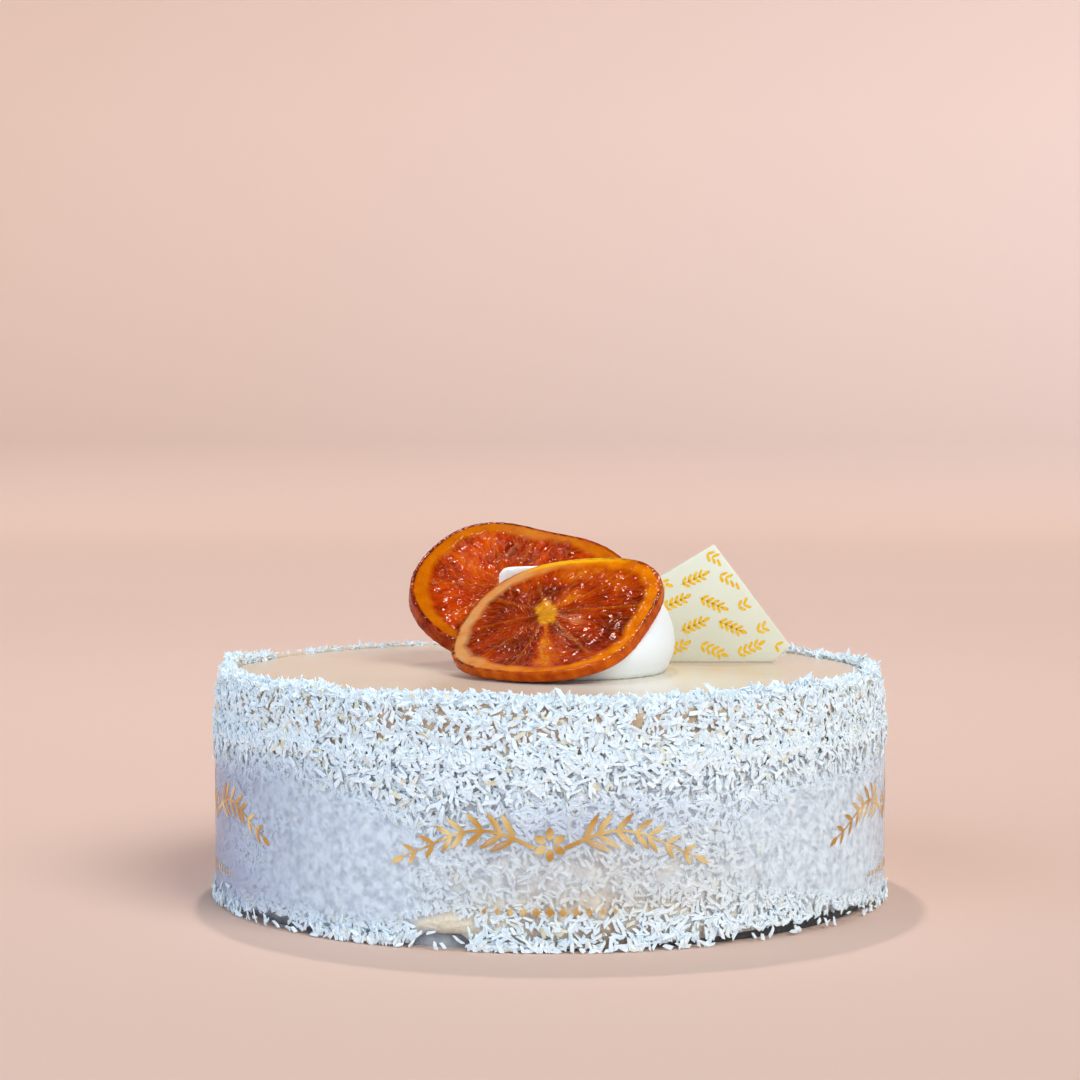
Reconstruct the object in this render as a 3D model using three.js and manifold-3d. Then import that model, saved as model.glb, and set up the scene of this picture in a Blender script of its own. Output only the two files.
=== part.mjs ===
// Almond orange cake: a round glazed cake coated with coconut, in a clear collar, with two candied
// orange slices, a dollop of cream and a white chocolate plaque on top.
// Millimetres, +Z up. The origin is the middle of the underside, and -Y is the front.
import * as THREE from 'three';
import { mergeVertices } from 'three/addons/utils/BufferGeometryUtils.js';
import Module from 'manifold-3d';

// Driving dimensions
const GAP = 0.3;
const ROUND = 96;
const GLAZE_TOP = 66.4;
const GLAZE_THICKNESS = 2;
const GLAZE_RADIUS = 94.4;
const BASE_RADIUS = 96.4;
const BASE_THICKNESS = 4.5;
const SKIRT_RADIUS = 97.6;
const SIDE_RADIUS = 98.6;
const BULGE = 0.9;
const BULGE_HEIGHT = 57;
const CRUMBLINESS = 0.35;
const REACH = 101.2;
const COLLAR_RADIUS = 100.3;
const COLLAR_WALL = 0.4;
const COLLAR_FOOT = 0.8;
const COLLAR_TOP = 50;
const BEND_SPAN = 32;
const CREAM_HEIGHT = 29;
const PLAQUE_SIDE = 39.5;
const PLAQUE_THICKNESS = 2.2;
const PLAQUE_BACK = 22.4;
const PLAQUE_PEAK = new THREE.Vector2(50.9, 103.1);

// The coconut flakes that are large enough to show from a step away
const RIM_FLAKES = 72;
const SIDE_FLAKES = 50;
const SKIRT_FLAKES = 20;
const FLAKE_WIDTH = 1.5;
const FLAKE_THICKNESS = 0.8;
const LONGEST_FLAKE = 6;
const SHORTEST_FLAKE = 4;

const SMALLEST_FACET = 0.04;
const TURN = 2 * Math.PI;
const RESTING = GLAZE_TOP + GAP;

const wasm = await Module();
wasm.setup();

const degrees = (angle) => THREE.MathUtils.degToRad(angle);

// A repeatable draw of numbers from 0 to 1
function seeded(seed) {
  let state = seed;
  return () => {
    state = (state * 1664525 + 1013904223) % 4294967296;
    return state / 4294967296;
  };
}

// A smooth waviness round the cake, from lobes of [count, size, phase]
function waves(angle, lobes) {
  return lobes.reduce((sum, [count, size, phase]) => sum + size * Math.cos(count * angle + phase), 0);
}

function solidOf(geometry) {
  const bare = geometry.clone();
  bare.deleteAttribute('normal');
  bare.deleteAttribute('uv');
  const merged = mergeVertices(bare, 1e-4);
  return new wasm.Manifold(
    new wasm.Mesh({
      numProp: 3,
      vertProperties: new Float32Array(merged.attributes.position.array),
      triVerts: new Uint32Array(merged.index.array),
    }),
  );
}

// The largest single body of a solid, so that no loose scrap or sealed hollow stays
function largestBody(solid) {
  const bodies = solid.decompose();
  return bodies.reduce((best, body) => (body.volume() > best.volume() ? body : best));
}

function geometryOf(solid) {
  const mesh = solid.simplify(SMALLEST_FACET).getMesh();
  const geometry = new THREE.BufferGeometry();
  const points = new Float32Array(mesh.numVert * 3);
  for (let i = 0; i < mesh.numVert; i += 1) {
    points.set(mesh.vertProperties.subarray(i * mesh.numProp, i * mesh.numProp + 3), i * 3);
  }
  geometry.setAttribute('position', new THREE.BufferAttribute(points, 3));
  geometry.setIndex(new THREE.BufferAttribute(new Uint32Array(mesh.triVerts), 1));
  geometry.computeVertexNormals();
  return geometry;
}

// Turns a profile of [radius, height] round the upright axis. The angle starts at the front and grows
// towards the right, and place gives the radius and height of a profile point at each angle.
function turned(profile, segments, place) {
  const geometry = new THREE.LatheGeometry(
    profile.map(([radius, height]) => new THREE.Vector2(radius, height)),
    segments,
  );
  const position = geometry.attributes.position;
  for (let i = 0; i <= segments; i += 1) {
    const angle = ((i % segments) / segments) * TURN;
    for (let row = 0; row < profile.length; row += 1) {
      const [radius, height] = place(profile[row], angle, row);
      const x = radius * Math.sin(angle);
      const y = -radius * Math.cos(angle);
      position.setXYZ(i * profile.length + row, x, y, height);
    }
  }
  geometry.computeVertexNormals();
  return geometry;
}

// The line where the glaze meets the coconut
function glazeEdge(angle) {
  return GLAZE_RADIUS + waves(angle, [[5, 0.5, 1.1], [8, 0.5, 0.3], [13, 0.4, 2.2]]);
}

// How far the coconut stands above the glaze: less at the back, and least a little right of the front
function rimLift(angle) {
  const lowSpot = degrees(12);
  const lowWidth = degrees(10);
  const lowDepth = 1.5;
  const away = Math.atan2(Math.sin(angle - lowSpot), Math.cos(angle - lowSpot)) / lowWidth;
  const uneven = waves(angle, [[1, 0.6, 0], [3, 0.3, 0.4], [7, 0.25, 1.9], [11, 0.2, 0.6]]);
  return 1.6 + uneven - lowDepth * Math.exp(-away * away);
}

// The ragged lower edge of the coconut, which bares the dark base in places
function skirtFoot(angle) {
  const lowest = 0.3;
  const highest = 3.9;
  const bare = waves(angle, [[7, 1.5, 2.6], [10, 1.2, 0.2], [17, 1, 1.4]]);
  return THREE.MathUtils.clamp(0.6 + bare, lowest, highest);
}

// The radius of the coated side at a height. It bulges above the collar, rounds in at the top and
// tapers in at the foot.
function sideRadius(height, angle) {
  const bulgeSpread = 6;
  const roundFrom = 61;
  const rounding = 0.045;
  const taperBelow = 8;
  const taper = 0.12;
  const lumpSpacing = 9;
  const bulge = BULGE * Math.exp(-(((height - BULGE_HEIGHT) / bulgeSpread) ** 2));
  const tuck = rounding * Math.max(0, height - roundFrom) ** 2;
  const foot = taper * Math.max(0, taperBelow - height);
  const lumps = waves(angle, [[4, 0.15, 0.8], [9, 0.12, 2.4]]) * Math.cos(height / lumpSpacing);
  return SIDE_RADIUS + bulge - tuck - foot + lumps;
}

// The crumbly surface of the coat: each point of a row stands in or out a little
function crumb(angle, row) {
  return CRUMBLINESS * Math.sin(37 * angle + 5 * row) * Math.sin(53 * angle + 11 * row);
}

function baseLayer() {
  const chamfer = 0.4;
  const profile = [
    [0, 0],
    [BASE_RADIUS - chamfer, 0],
    [BASE_RADIUS, chamfer],
    [BASE_RADIUS, BASE_THICKNESS],
    [0, BASE_THICKNESS],
  ];
  return turned(profile, ROUND, (point) => point);
}

// The poured glaze on top, or the room for it when grow is the clearance round it
function topGlaze(grow = 0) {
  const under = GLAZE_TOP - GLAZE_THICKNESS - grow;
  const top = GLAZE_TOP + grow;
  const edgeDrop = 0.5;
  const profile = [
    [0, under],
    [GLAZE_RADIUS, under],
    [GLAZE_RADIUS, top - edgeDrop],
    [GLAZE_RADIUS - 1, top],
    [0, top],
  ];
  return turned(profile, ROUND, ([radius, height], angle) => {
    const spread = radius === 0 ? 0 : glazeEdge(angle) - GLAZE_RADIUS + grow;
    return [radius + spread, height];
  });
}

// The cake with its coconut coat, before the flakes, standing over the base and flat inside its rim.
// The last rows of its profile are [radius, share of the rim's height above the glaze].
function coatedCore() {
  const underside = BASE_THICKNESS + GAP;
  const sideHeights = [6, 30, 49, 53, 57, 61.5, 65];
  const skirtInner = BASE_RADIUS + GAP;
  const profile = [
    [0, underside],
    [skirtInner, underside],
    [skirtInner, 0],
    [SKIRT_RADIUS, 0],
    ...sideHeights.map((height) => [SIDE_RADIUS, height]),
    [SIDE_RADIUS - 1.2, 0.8],
    [SIDE_RADIUS - 2.1, 1],
    [GLAZE_RADIUS + 0.9, 0.7],
    [GLAZE_RADIUS - 1, 0],
    [0, 0],
  ];
  const firstSide = 4;
  const firstRim = firstSide + sideHeights.length;
  return turned(profile, ROUND, ([radius, height], angle, row) => {
    if (row < 2) return [radius, height];
    if (row < firstSide) return [radius, skirtFoot(angle)];
    if (row < firstRim) return [sideRadius(height, angle) + crumb(angle, row), height];
    const level = GLAZE_TOP + height * rimLift(angle);
    const followsGlaze = radius > 0 && radius < GLAZE_RADIUS + 1;
    return [followsGlaze ? radius + glazeEdge(angle) - GLAZE_RADIUS : radius, level];
  });
}

// The outward, sideways and upward directions at an angle round the cake
function directions(angle) {
  return {
    out: new THREE.Vector3(Math.sin(angle), -Math.cos(angle), 0),
    along: new THREE.Vector3(Math.cos(angle), Math.sin(angle), 0),
    up: new THREE.Vector3(0, 0, 1),
  };
}

// One coconut flake: a tapered sliver whose middle is at centre, with its length along grain and its
// flat face towards facing. It is drawn in until nothing of it passes the radius limit.
function flake(centre, grain, facing, length, limit) {
  const geometry = new THREE.BoxGeometry(length, FLAKE_WIDTH, FLAKE_THICKNESS);
  const position = geometry.attributes.position;
  const taper = 0.3;
  const lengthwise = grain.clone().normalize();
  const across = new THREE.Vector3().crossVectors(facing, lengthwise).normalize();
  const thickness = new THREE.Vector3().crossVectors(lengthwise, across);
  const point = new THREE.Vector3();
  let widest = 0;
  for (let i = 0; i < position.count; i += 1) {
    const end = position.getX(i) / (length / 2);
    point.copy(centre);
    point.addScaledVector(lengthwise, position.getX(i));
    point.addScaledVector(across, position.getY(i) * (1 - taper * end));
    point.addScaledVector(thickness, position.getZ(i));
    position.setXYZ(i, point.x, point.y, point.z);
    widest = Math.max(widest, Math.hypot(point.x, point.y));
  }
  const excess = Math.max(0, widest - limit);
  const bearing = Math.hypot(centre.x, centre.y);
  geometry.translate((-excess * centre.x) / bearing, (-excess * centre.y) / bearing, 0);
  return geometry;
}

// Numbers from 0 to 1 that fill the range evenly, however many are taken
const evenly = (count, step) => (count * step) % 1;
const GOLDEN = 0.6180339887;
const PLASTIC = 0.7548776662;

// Flakes set round the cake by the golden angle, the longest first
function flakeRing(count, random, setOne) {
  const flakes = [];
  for (let i = 0; i < count; i += 1) {
    const angle = evenly(i, GOLDEN) * TURN;
    const length = THREE.MathUtils.lerp(LONGEST_FLAKE, SHORTEST_FLAKE, i / count);
    flakes.push(setOne(angle, length, evenly(i, PLASTIC), random));
  }
  return flakes;
}

// A flake on the side, its middle at a radius and height, turned from level by turn, and with one
// end standing off the side by stand
function lyingFlake(angle, radius, height, { turn, stand, length, limit }) {
  const { out, along, up } = directions(angle);
  const lying = along.clone().multiplyScalar(Math.cos(turn)).addScaledVector(up, Math.sin(turn));
  const grain = lying.clone().addScaledVector(out, stand);
  const facing = out.clone().addScaledVector(lying, -stand);
  return flake(out.clone().multiplyScalar(radius).setZ(height), grain, facing, length, limit);
}

// A flake that lies against the side at a height, turned and leaning at random
function sideFlake(angle, height, length, limit, random) {
  const turn = random() * Math.PI;
  const stand = 0.18 + 0.3 * random();
  const bedding = 0.2;
  return lyingFlake(angle, sideRadius(height, angle) + bedding, height, { turn, stand, length, limit });
}

// A flake that stands up out of the rim and leans its own way
function rimFlake(angle, length, spread, random) {
  const { out, along, up } = directions(angle);
  const innerRim = GLAZE_RADIUS + 1.4;
  const outerRim = SIDE_RADIUS - 1;
  const radius = THREE.MathUtils.lerp(innerRim, outerRim, spread);
  const sidewaysLean = 2.4 * (random() - 0.5);
  const outwardLean = 1.4 * (random() - 0.45);
  const twist = 1.6 * (random() - 0.5);
  const grain = up.clone().addScaledVector(along, sidewaysLean).addScaledVector(out, outwardLean);
  const facing = out.clone().addScaledVector(along, twist);
  const centre = out.clone().multiplyScalar(radius).setZ(GLAZE_TOP + 0.8 * rimLift(angle) + 0.1);
  return flake(centre, grain, facing, length * 0.9, REACH);
}

// The four flakes that reach furthest, to the front, right, back and left
function proudFlakes() {
  const shape = { turn: degrees(39), stand: 0.55, length: LONGEST_FLAKE, limit: REACH };
  return [0, 1, 2, 3].map((quarter) => lyingFlake((quarter * TURN) / 4, REACH, BULGE_HEIGHT, shape));
}

// The cake, coated all over its side. The flakes above the collar reach past it, and those at the
// foot stay inside it.
function cakeBody() {
  const random = seeded(7);
  const collarLimit = COLLAR_RADIUS - GAP;
  const aboveCollar = [53.5, 66];
  const skirt = [4.5, 9];
  const rimFlakes = flakeRing(RIM_FLAKES, random, rimFlake);
  const sideFlakes = flakeRing(SIDE_FLAKES, random, (angle, length, spread) =>
    sideFlake(angle, THREE.MathUtils.lerp(...aboveCollar, spread), length, REACH, random));
  const skirtFlakes = flakeRing(SKIRT_FLAKES, random, (angle, length, spread) =>
    sideFlake(angle, THREE.MathUtils.lerp(...skirt, spread), length * 0.8, collarLimit, random));
  const flakes = [...proudFlakes(), ...rimFlakes, ...sideFlakes, ...skirtFlakes];
  const coated = wasm.Manifold.union([coatedCore(), ...flakes].map(solidOf));
  return geometryOf(largestBody(coated.subtract(solidOf(topGlaze(GAP)))));
}

function collarFilm() {
  const outer = COLLAR_RADIUS + COLLAR_WALL;
  const profile = [
    [COLLAR_RADIUS, COLLAR_FOOT],
    [outer, COLLAR_FOOT],
    [outer, COLLAR_TOP],
    [COLLAR_RADIUS, COLLAR_TOP],
    [COLLAR_RADIUS, COLLAR_FOOT],
  ];
  return turned(profile, ROUND, (point) => point);
}

// The two orange slices: where each one's middle is, which way its cut face looks, how its outline
// departs from a circle by lobes of [count, share, phase], and how far it bends out of its plane.
// Each bend is [power sideways, power uphill, size at the rim].
const FRONT_SLICE = {
  centre: new THREE.Vector3(1.3, -18.4, 82.6),
  face: new THREE.Vector3(-0.285, -0.432, 0.856),
  radius: 32.9,
  thickness: 3.5,
  lobes: [[2, 0.033, 1.82], [3, 0.037, -2.83], [4, 0.041, 2.86]],
  bends: [[2, 0, -0.9], [1, 1, -0.5], [0, 2, 2.75], [3, 0, -0.3], [2, 1, -0.5], [1, 2, 0.5], [0, 3, -1.4]],
};
const BACK_SLICE = {
  centre: new THREE.Vector3(-9.6, 21.4, 87.85),
  face: new THREE.Vector3(0.136, -0.657, 0.742),
  radius: 32.5,
  thickness: 5.7,
  lobes: [[2, 0.09, -0.64], [3, 0.084, -0.59], [4, 0.058, -0.48]],
  bends: [[2, 0, 0.6], [1, 1, 0.9], [0, 2, 4.1], [3, 0, -1.3], [2, 1, 0.3], [1, 2, 1.75], [0, 3, -2.5]],
};

// A slice of orange, dished a little inside its pith and rounded at the rind. It can be made larger
// all round by grow, and taller above its face by lift, to cut its own place out of a neighbour.
function orangeSlice(spec, { grow = 0, lift = 0 } = {}) {
  const dish = grow > 0 ? 0 : 0.5;
  const low = -spec.thickness - grow;
  const high = grow + lift;
  const radius = spec.radius + grow;
  const profile = [
    [0, low],
    [radius * 0.55, low],
    [radius - 0.8, low],
    [radius - 0.2, low + 0.5],
    [radius, (low + high) / 2],
    [radius, high - 0.4],
    [radius - 0.4, high],
    [radius * 0.88, high],
    [radius * 0.81, high - dish],
    [radius * 0.4, high - dish],
    [0, high - dish],
  ];
  const away = spec.face.clone().normalize();
  const side = new THREE.Vector3(0, 0, 1).cross(away).normalize();
  const uphill = away.clone().cross(side);
  const geometry = new THREE.LatheGeometry(profile.map(([r, z]) => new THREE.Vector2(r, z)), 40);
  const position = geometry.attributes.position;
  const point = new THREE.Vector3();
  for (let i = 0; i < position.count; i += 1) {
    const angle = Math.atan2(-position.getZ(i), position.getX(i));
    const reach = Math.hypot(position.getX(i), position.getZ(i)) * (1 + waves(angle, spec.lobes));
    const across = reach * Math.cos(angle);
    const climb = reach * Math.sin(angle);
    const bend = spec.bends.reduce((sum, [sideways, up, size]) =>
      sum + size * (across / BEND_SPAN) ** sideways * (climb / BEND_SPAN) ** up, 0);
    point.copy(spec.centre).addScaledVector(side, across).addScaledVector(uphill, climb);
    point.addScaledVector(away, position.getY(i) + bend);
    position.setXYZ(i, point.x, point.y, point.z);
  }
  geometry.computeVertexNormals();
  return geometry;
}

// The upright plaque: a square of chocolate standing on one corner. That corner is cut off level with
// the glaze. The slopes are those of its edges, seen from the front.
function plaqueBlock(grow = 0) {
  const rightSlope = degrees(-53);
  const leftSlope = degrees(211);
  const lowSlope = degrees(222);
  const corner = (slope) =>
    new THREE.Vector2(PLAQUE_SIDE, 0).rotateAround(new THREE.Vector2(), slope).add(PLAQUE_PEAK);
  const right = corner(rightSlope);
  const left = corner(leftSlope);
  const footRight = new THREE.Vector2(right.x - (right.y - RESTING) / Math.tan(lowSlope), RESTING);
  const footLeft = new THREE.Vector2(left.x - (left.y - RESTING) / Math.tan(rightSlope), RESTING);
  const block = new THREE.ExtrudeGeometry(new THREE.Shape([PLAQUE_PEAK, left, footLeft, footRight, right]), {
    depth: PLAQUE_THICKNESS + 2 * grow,
    bevelEnabled: false,
  });
  block.rotateX(Math.PI / 2);
  block.translate(0, PLAQUE_BACK + grow, 0);
  return block;
}

function chocolatePlaque() {
  const room = solidOf(orangeSlice(BACK_SLICE, { grow: GAP }));
  return geometryOf(largestBody(solidOf(plaqueBlock()).subtract(room)));
}

// A lump of cream on the glaze, from its middle, half width, half depth and height. Its profile gives
// [share of the half width, share of the height], and its lobes make the outline uneven.
function creamLump({ middle, halfWidth, halfDepth, height, profile, lobes }) {
  const lump = turned([[0, 0], ...profile, [0, 1]], 36, ([radius, level], angle) => {
    const fold = 1 + waves(angle, lobes) * Math.min(1, 2 * level + 0.3);
    return [radius * fold, level];
  });
  lump.scale(halfWidth, halfDepth, height);
  lump.translate(middle[0], middle[1], RESTING);
  return lump;
}

// The dollop: a broad round lump with a steeper, flat-topped one behind it, pressed in by both
// slices and the plaque. The front slice leaves no cream over its face.
function creamDollop() {
  const overSlice = 14;
  const broad = creamLump({
    middle: [9, -6],
    halfWidth: 28.8,
    halfDepth: 37,
    height: CREAM_HEIGHT,
    profile: [
      [0.83, 0],
      [0.95, 0.09],
      [1, 0.24],
      [0.99, 0.42],
      [0.93, 0.6],
      [0.81, 0.77],
      [0.62, 0.9],
      [0.36, 0.975],
    ],
    lobes: [[3, 0.02, 0.6], [5, 0.015, 1.3]],
  });
  const peak = creamLump({
    middle: [-3, 9],
    halfWidth: 13,
    halfDepth: 13,
    height: CREAM_HEIGHT + 1,
    profile: [[0.9, 0], [1, 0.4], [0.99, 0.8], [0.95, 0.93], [0.85, 0.99], [0.45, 1]],
    lobes: [[4, 0.05, 0.9], [3, 0.03, 2]],
  });
  const pressed = [
    orangeSlice(FRONT_SLICE, { grow: GAP, lift: overSlice }),
    orangeSlice(BACK_SLICE, { grow: GAP }),
    plaqueBlock(GAP),
  ];
  let cream = solidOf(broad).add(solidOf(peak));
  for (const part of pressed) cream = cream.subtract(solidOf(part));
  return geometryOf(largestBody(cream));
}

function piece(name, geometry, color, roughness, metalness = 0) {
  const mesh = new THREE.Mesh(geometry, new THREE.MeshStandardMaterial({ color, roughness, metalness }));
  mesh.name = name;
  return mesh;
}

const cake = new THREE.Group();
cake.add(
  piece('base_layer', baseLayer(), '#2a211d', 0.7),
  piece('cake_body', cakeBody(), '#eceef2', 0.75),
  piece('top_glaze', topGlaze(), '#f0d3b0', 0.2),
  piece('collar_film', collarFilm(), '#d9d8e2', 0.25),
  piece('orange_slice_front', orangeSlice(FRONT_SLICE), '#c8560f', 0.25),
  piece('orange_slice_back', orangeSlice(BACK_SLICE), '#b84a12', 0.25),
  piece('cream_dollop', creamDollop(), '#f7f7f4', 0.4),
  piece('chocolate_plaque', chocolatePlaque(), '#f1ecd2', 0.35),
);

export default cake;
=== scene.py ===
"""Almond orange cake: its looks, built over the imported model, and the stage for its picture.

Sizes are real ones in millimetres, and MM turns them into metres. An angle round the cake starts at
the front and grows towards the right.
"""

from math import atan2, cos, degrees, exp, hypot, pi, radians, sin

import bmesh
import bpy
import numpy as np
from bpy.props import FloatProperty, FloatVectorProperty, IntProperty, PointerProperty
from mathutils import Color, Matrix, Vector
from mathutils.noise import noise


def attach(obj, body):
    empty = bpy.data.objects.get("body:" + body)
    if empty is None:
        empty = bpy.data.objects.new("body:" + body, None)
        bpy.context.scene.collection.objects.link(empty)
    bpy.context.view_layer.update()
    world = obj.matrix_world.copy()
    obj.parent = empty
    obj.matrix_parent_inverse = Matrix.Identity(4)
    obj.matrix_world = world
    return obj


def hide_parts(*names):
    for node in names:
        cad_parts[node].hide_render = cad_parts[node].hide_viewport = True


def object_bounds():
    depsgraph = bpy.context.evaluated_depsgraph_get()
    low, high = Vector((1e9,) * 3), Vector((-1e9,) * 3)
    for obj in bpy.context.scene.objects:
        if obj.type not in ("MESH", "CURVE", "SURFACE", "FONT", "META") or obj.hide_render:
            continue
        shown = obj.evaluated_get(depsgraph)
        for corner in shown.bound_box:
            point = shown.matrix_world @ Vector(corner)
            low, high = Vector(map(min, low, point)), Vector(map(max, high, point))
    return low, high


bl_info = {
    "name": "Almond orange cake",
    "version": (1, 0, 0),
    "blender": (4, 5, 0),
    "location": "3D view > Sidebar > Cake",
    "description": "A coconut-coated cake with candied orange slices, cream and a chocolate plaque",
    "category": "Object",
}

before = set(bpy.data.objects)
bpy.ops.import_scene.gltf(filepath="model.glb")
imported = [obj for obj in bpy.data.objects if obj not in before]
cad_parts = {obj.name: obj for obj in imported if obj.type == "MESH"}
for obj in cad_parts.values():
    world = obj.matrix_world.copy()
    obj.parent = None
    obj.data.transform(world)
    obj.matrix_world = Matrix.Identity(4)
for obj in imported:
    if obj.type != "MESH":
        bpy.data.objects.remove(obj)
CAD_LOW, CAD_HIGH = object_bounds()

MM = 0.001
TURN = 2 * pi

# The cake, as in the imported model
GLAZE_TOP = 66.4
GLAZE_RADIUS = 94.4
SIDE_RADIUS = 98.6
BULGE = 0.9
BULGE_HEIGHT = 57
REACH = CAD_HIGH.x / MM

# Heights that change round the cake, as (angle in degrees, height)
COAT_FOOT = [
    (-180, 1.4), (-140, 0.8), (-110, 1.6), (-90, 0.8), (-62, 0.8), (-57, 3.3), (-49, 3.9), (-45, 1.4),
    (-41, 2), (-37, 0.7), (-23, 0.7), (-20, 3.9), (-14, 4.2), (-11.5, 0.8), (12, 0.5), (17, 1.5), (30, 2.1),
    (42, 3.1), (52, 4), (59, 3.4), (68, 1.4), (90, 0.8), (125, 1.8), (155, 0.7), (180, 1.4),
]
OVER_FILM = [
    (-180, 46), (-110, 44), (-85, 43), (-70, 46), (-55, 49), (-43, 48), (-32, 43), (-19, 37),
    (-8, 40), (8, 44), (29, 43), (43, 46), (65, 47.5), (95, 46), (140, 47), (180, 46),
]
RIM_HEIGHT = [
    (-180, 0.3), (-125, 0.3), (-112, 1), (-100, 2.8), (-85, 3.2), (-70, 1.8), (-58, 1.4), (-46, 2.6),
    (-34, 1.2), (-22, 1.5), (-10, 2.3), (0, 1.1), (12, 0.5), (24, 1.1), (36, 1.6), (48, 2.6), (60, 1.5),
    (75, 1.9), (92, 2), (110, 1), (140, 0.7), (180, 0.3),
]
CRISP_FOOT = [
    (-180, 7), (-90, 3), (-50, 4), (-25, 6), (-8, 13), (20, 14), (42, 10), (60, 6), (90, 4), (180, 7),
]

# The share of the rim that the coconut covers, as (angle in degrees, share)
RIM_COVER = [
    (-180, 0.3), (-150, 0.3), (-128, 0.45), (-124, 0.04), (-115, 0.04), (-110, 1), (100, 1), (130, 0.85),
    (160, 0.6), (180, 0.3),
]

# The film round the side
FILM_MIDDLE = 100.5
FILM_SPREAD = 0.15
FILM_FOOT = 0.8
FILM_TOP = 50
FILM_LAP = 12

# How far the shreds keep from the film's middle, outside and inside of it
FILM_OUTSIDE, FILM_INSIDE = 0.12, 0.16


# Small tools

# The inputs of a colour Mix node, by number
SHARE, FROM, TO = 0, 6, 7


def linear(hex_colour):
    """An sRGB colour such as "#c0ffee" as linear red, green, blue and an alpha of 1."""
    parts = [int(hex_colour[i : i + 2], 16) / 255 for i in (1, 3, 5)]
    return tuple(c / 12.92 if c <= 0.04045 else ((c + 0.055) / 1.055) ** 2.4 for c in parts) + (1,)


def feed(tree, node, inputs):
    """Sets or links inputs: each is a value, a colour, a socket, or a node that gives its main output."""
    for key, value in inputs.items():
        if isinstance(value, bpy.types.Node):
            value = value.outputs[2 if getattr(value, "data_type", "") == "RGBA" else 0]
        if isinstance(value, bpy.types.NodeSocket):
            tree.links.new(value, node.inputs[key])
        else:
            value = linear(value) if isinstance(value, str) else value
            node.inputs[key].default_value = (*value, 1) if isinstance(value, Color) else value


def add(tree, kind, inputs=None, stops=(), **settings):
    """Adds a shader node with its settings and inputs. Stops fill a colour ramp."""
    made = tree.nodes.new("ShaderNode" + kind)
    for name, value in settings.items():
        setattr(made, name, value)
    feed(tree, made, inputs or {})
    if stops:
        points = made.color_ramp.elements
        while len(points) < len(stops):
            points.new(1)
        for point, (place, colour) in zip(points, stops):
            point.position = place
            point.color = linear(colour) if isinstance(colour, str) else (colour,) * 3 + (1,)
    return made


def new_material(name, look, *choices):
    """A node material. Its look is a function that adds nodes and gives the surface's inputs."""
    material = bpy.data.materials.new(name)
    material.use_nodes = True
    tree = material.node_tree
    tree.nodes.clear()
    surface = add(tree, "BsdfPrincipled", look(tree, *choices))
    add(tree, "OutputMaterial", {"Surface": surface})
    return material


def soft(weight, radius, depth):
    """The inputs of a surface that light sinks into, to a depth in millimetres."""
    return {"Subsurface Weight": weight, "Subsurface Radius": radius, "Subsurface Scale": depth * MM}


def smooth_step(low, high, value):
    """0 below low, 1 above high, and a smooth rise between."""
    share = np.clip((value - low) / (high - low), 0, 1)
    return share * share * (3 - 2 * share)


def between(value, start, end):
    """1 from start to end, two (low, high) pairs over which it rises and falls, and 0 outside them."""
    return float(smooth_step(*start, value) * (1 - smooth_step(*end, value)))


def bell(angle, middle, spread, power=2):
    """1 at a middle in degrees, falling to nothing on both sides, counted round the circle."""
    away = (angle - middle + 180) % 360 - 180
    return exp(-((away / spread) ** power))


def bells(places, angle, power=2):
    """The sum of bells at (middle in degrees, spread, strength) places."""
    return sum(strength * bell(angle, middle, spread, power) for middle, spread, strength in places)


def within(value, least=0.0, most=1.0):
    return min(most, max(least, value))


def mesh_of(name, bm):
    """A smooth-shaded mesh from a bmesh that is used up."""
    mesh = bpy.data.meshes.new(name)
    bm.to_mesh(mesh)
    bm.free()
    mesh.shade_smooth()
    return mesh


def stand(name, data):
    """An object that holds data, in the scene."""
    made = bpy.data.objects.new(name, data)
    bpy.context.scene.collection.objects.link(made)
    return made


def finish_piece(name, bm, material, replaced=None, sharp=None):
    """Makes a bmesh a piece that rides with the cake. Edges sharper than sharp degrees stay crisp."""
    mesh = mesh_of(name, bm)
    if sharp:
        mesh.set_sharp_from_angle(angle=radians(sharp))
    return place_piece(name, mesh, material, replaced)


def place_piece(name, mesh, material, replaced=None):
    """Makes a mesh a piece that rides with the cake."""
    piece = stand(name, mesh)
    mesh.materials.append(material)
    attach(piece, "root")
    if replaced:
        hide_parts(replaced)
    return piece


def spun(profile, steps):
    """A profile of (radius, height) in millimetres, turned once round the upright axis."""
    bm = bmesh.new()
    points = [bm.verts.new((0, -radius * MM, height * MM)) for radius, height in profile]
    edges = [bm.edges.new(pair) for pair in zip(points, points[1:])]
    bmesh.ops.spin(
        bm, geom=points + edges, cent=(0, 0, 0), axis=(0, 0, 1), angle=TURN, steps=steps, use_merge=True
    )
    bmesh.ops.remove_doubles(bm, verts=bm.verts, dist=0.001 * MM)
    bmesh.ops.recalc_face_normals(bm, faces=bm.faces)
    return bm


def welded(node):
    """The node's mesh as a bmesh with its seams closed."""
    bm = bmesh.new()
    bm.from_mesh(node.data)
    bmesh.ops.remove_doubles(bm, verts=bm.verts, dist=0.005 * MM)
    return bm


def rotated(x, y, turn):
    return x * cos(turn) - y * sin(turn), x * sin(turn) + y * cos(turn)


def flat_noise(offset, size, seed):
    """Noise over a flat face, with patches of that size in millimetres."""
    return noise(Vector((offset.x / size, offset.y / size, seed)))


def ring_spot(angle, radius, height):
    """A point round the cake, from millimetres to metres."""
    return Vector((radius * sin(angle), -radius * cos(angle), height)) * MM


# The shape of the cake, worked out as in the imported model


def waves(angle, lobes):
    """A smooth waviness from lobes of (count, size, phase)."""
    return sum(size * np.cos(count * angle + phase) for count, size, phase in lobes)


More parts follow.
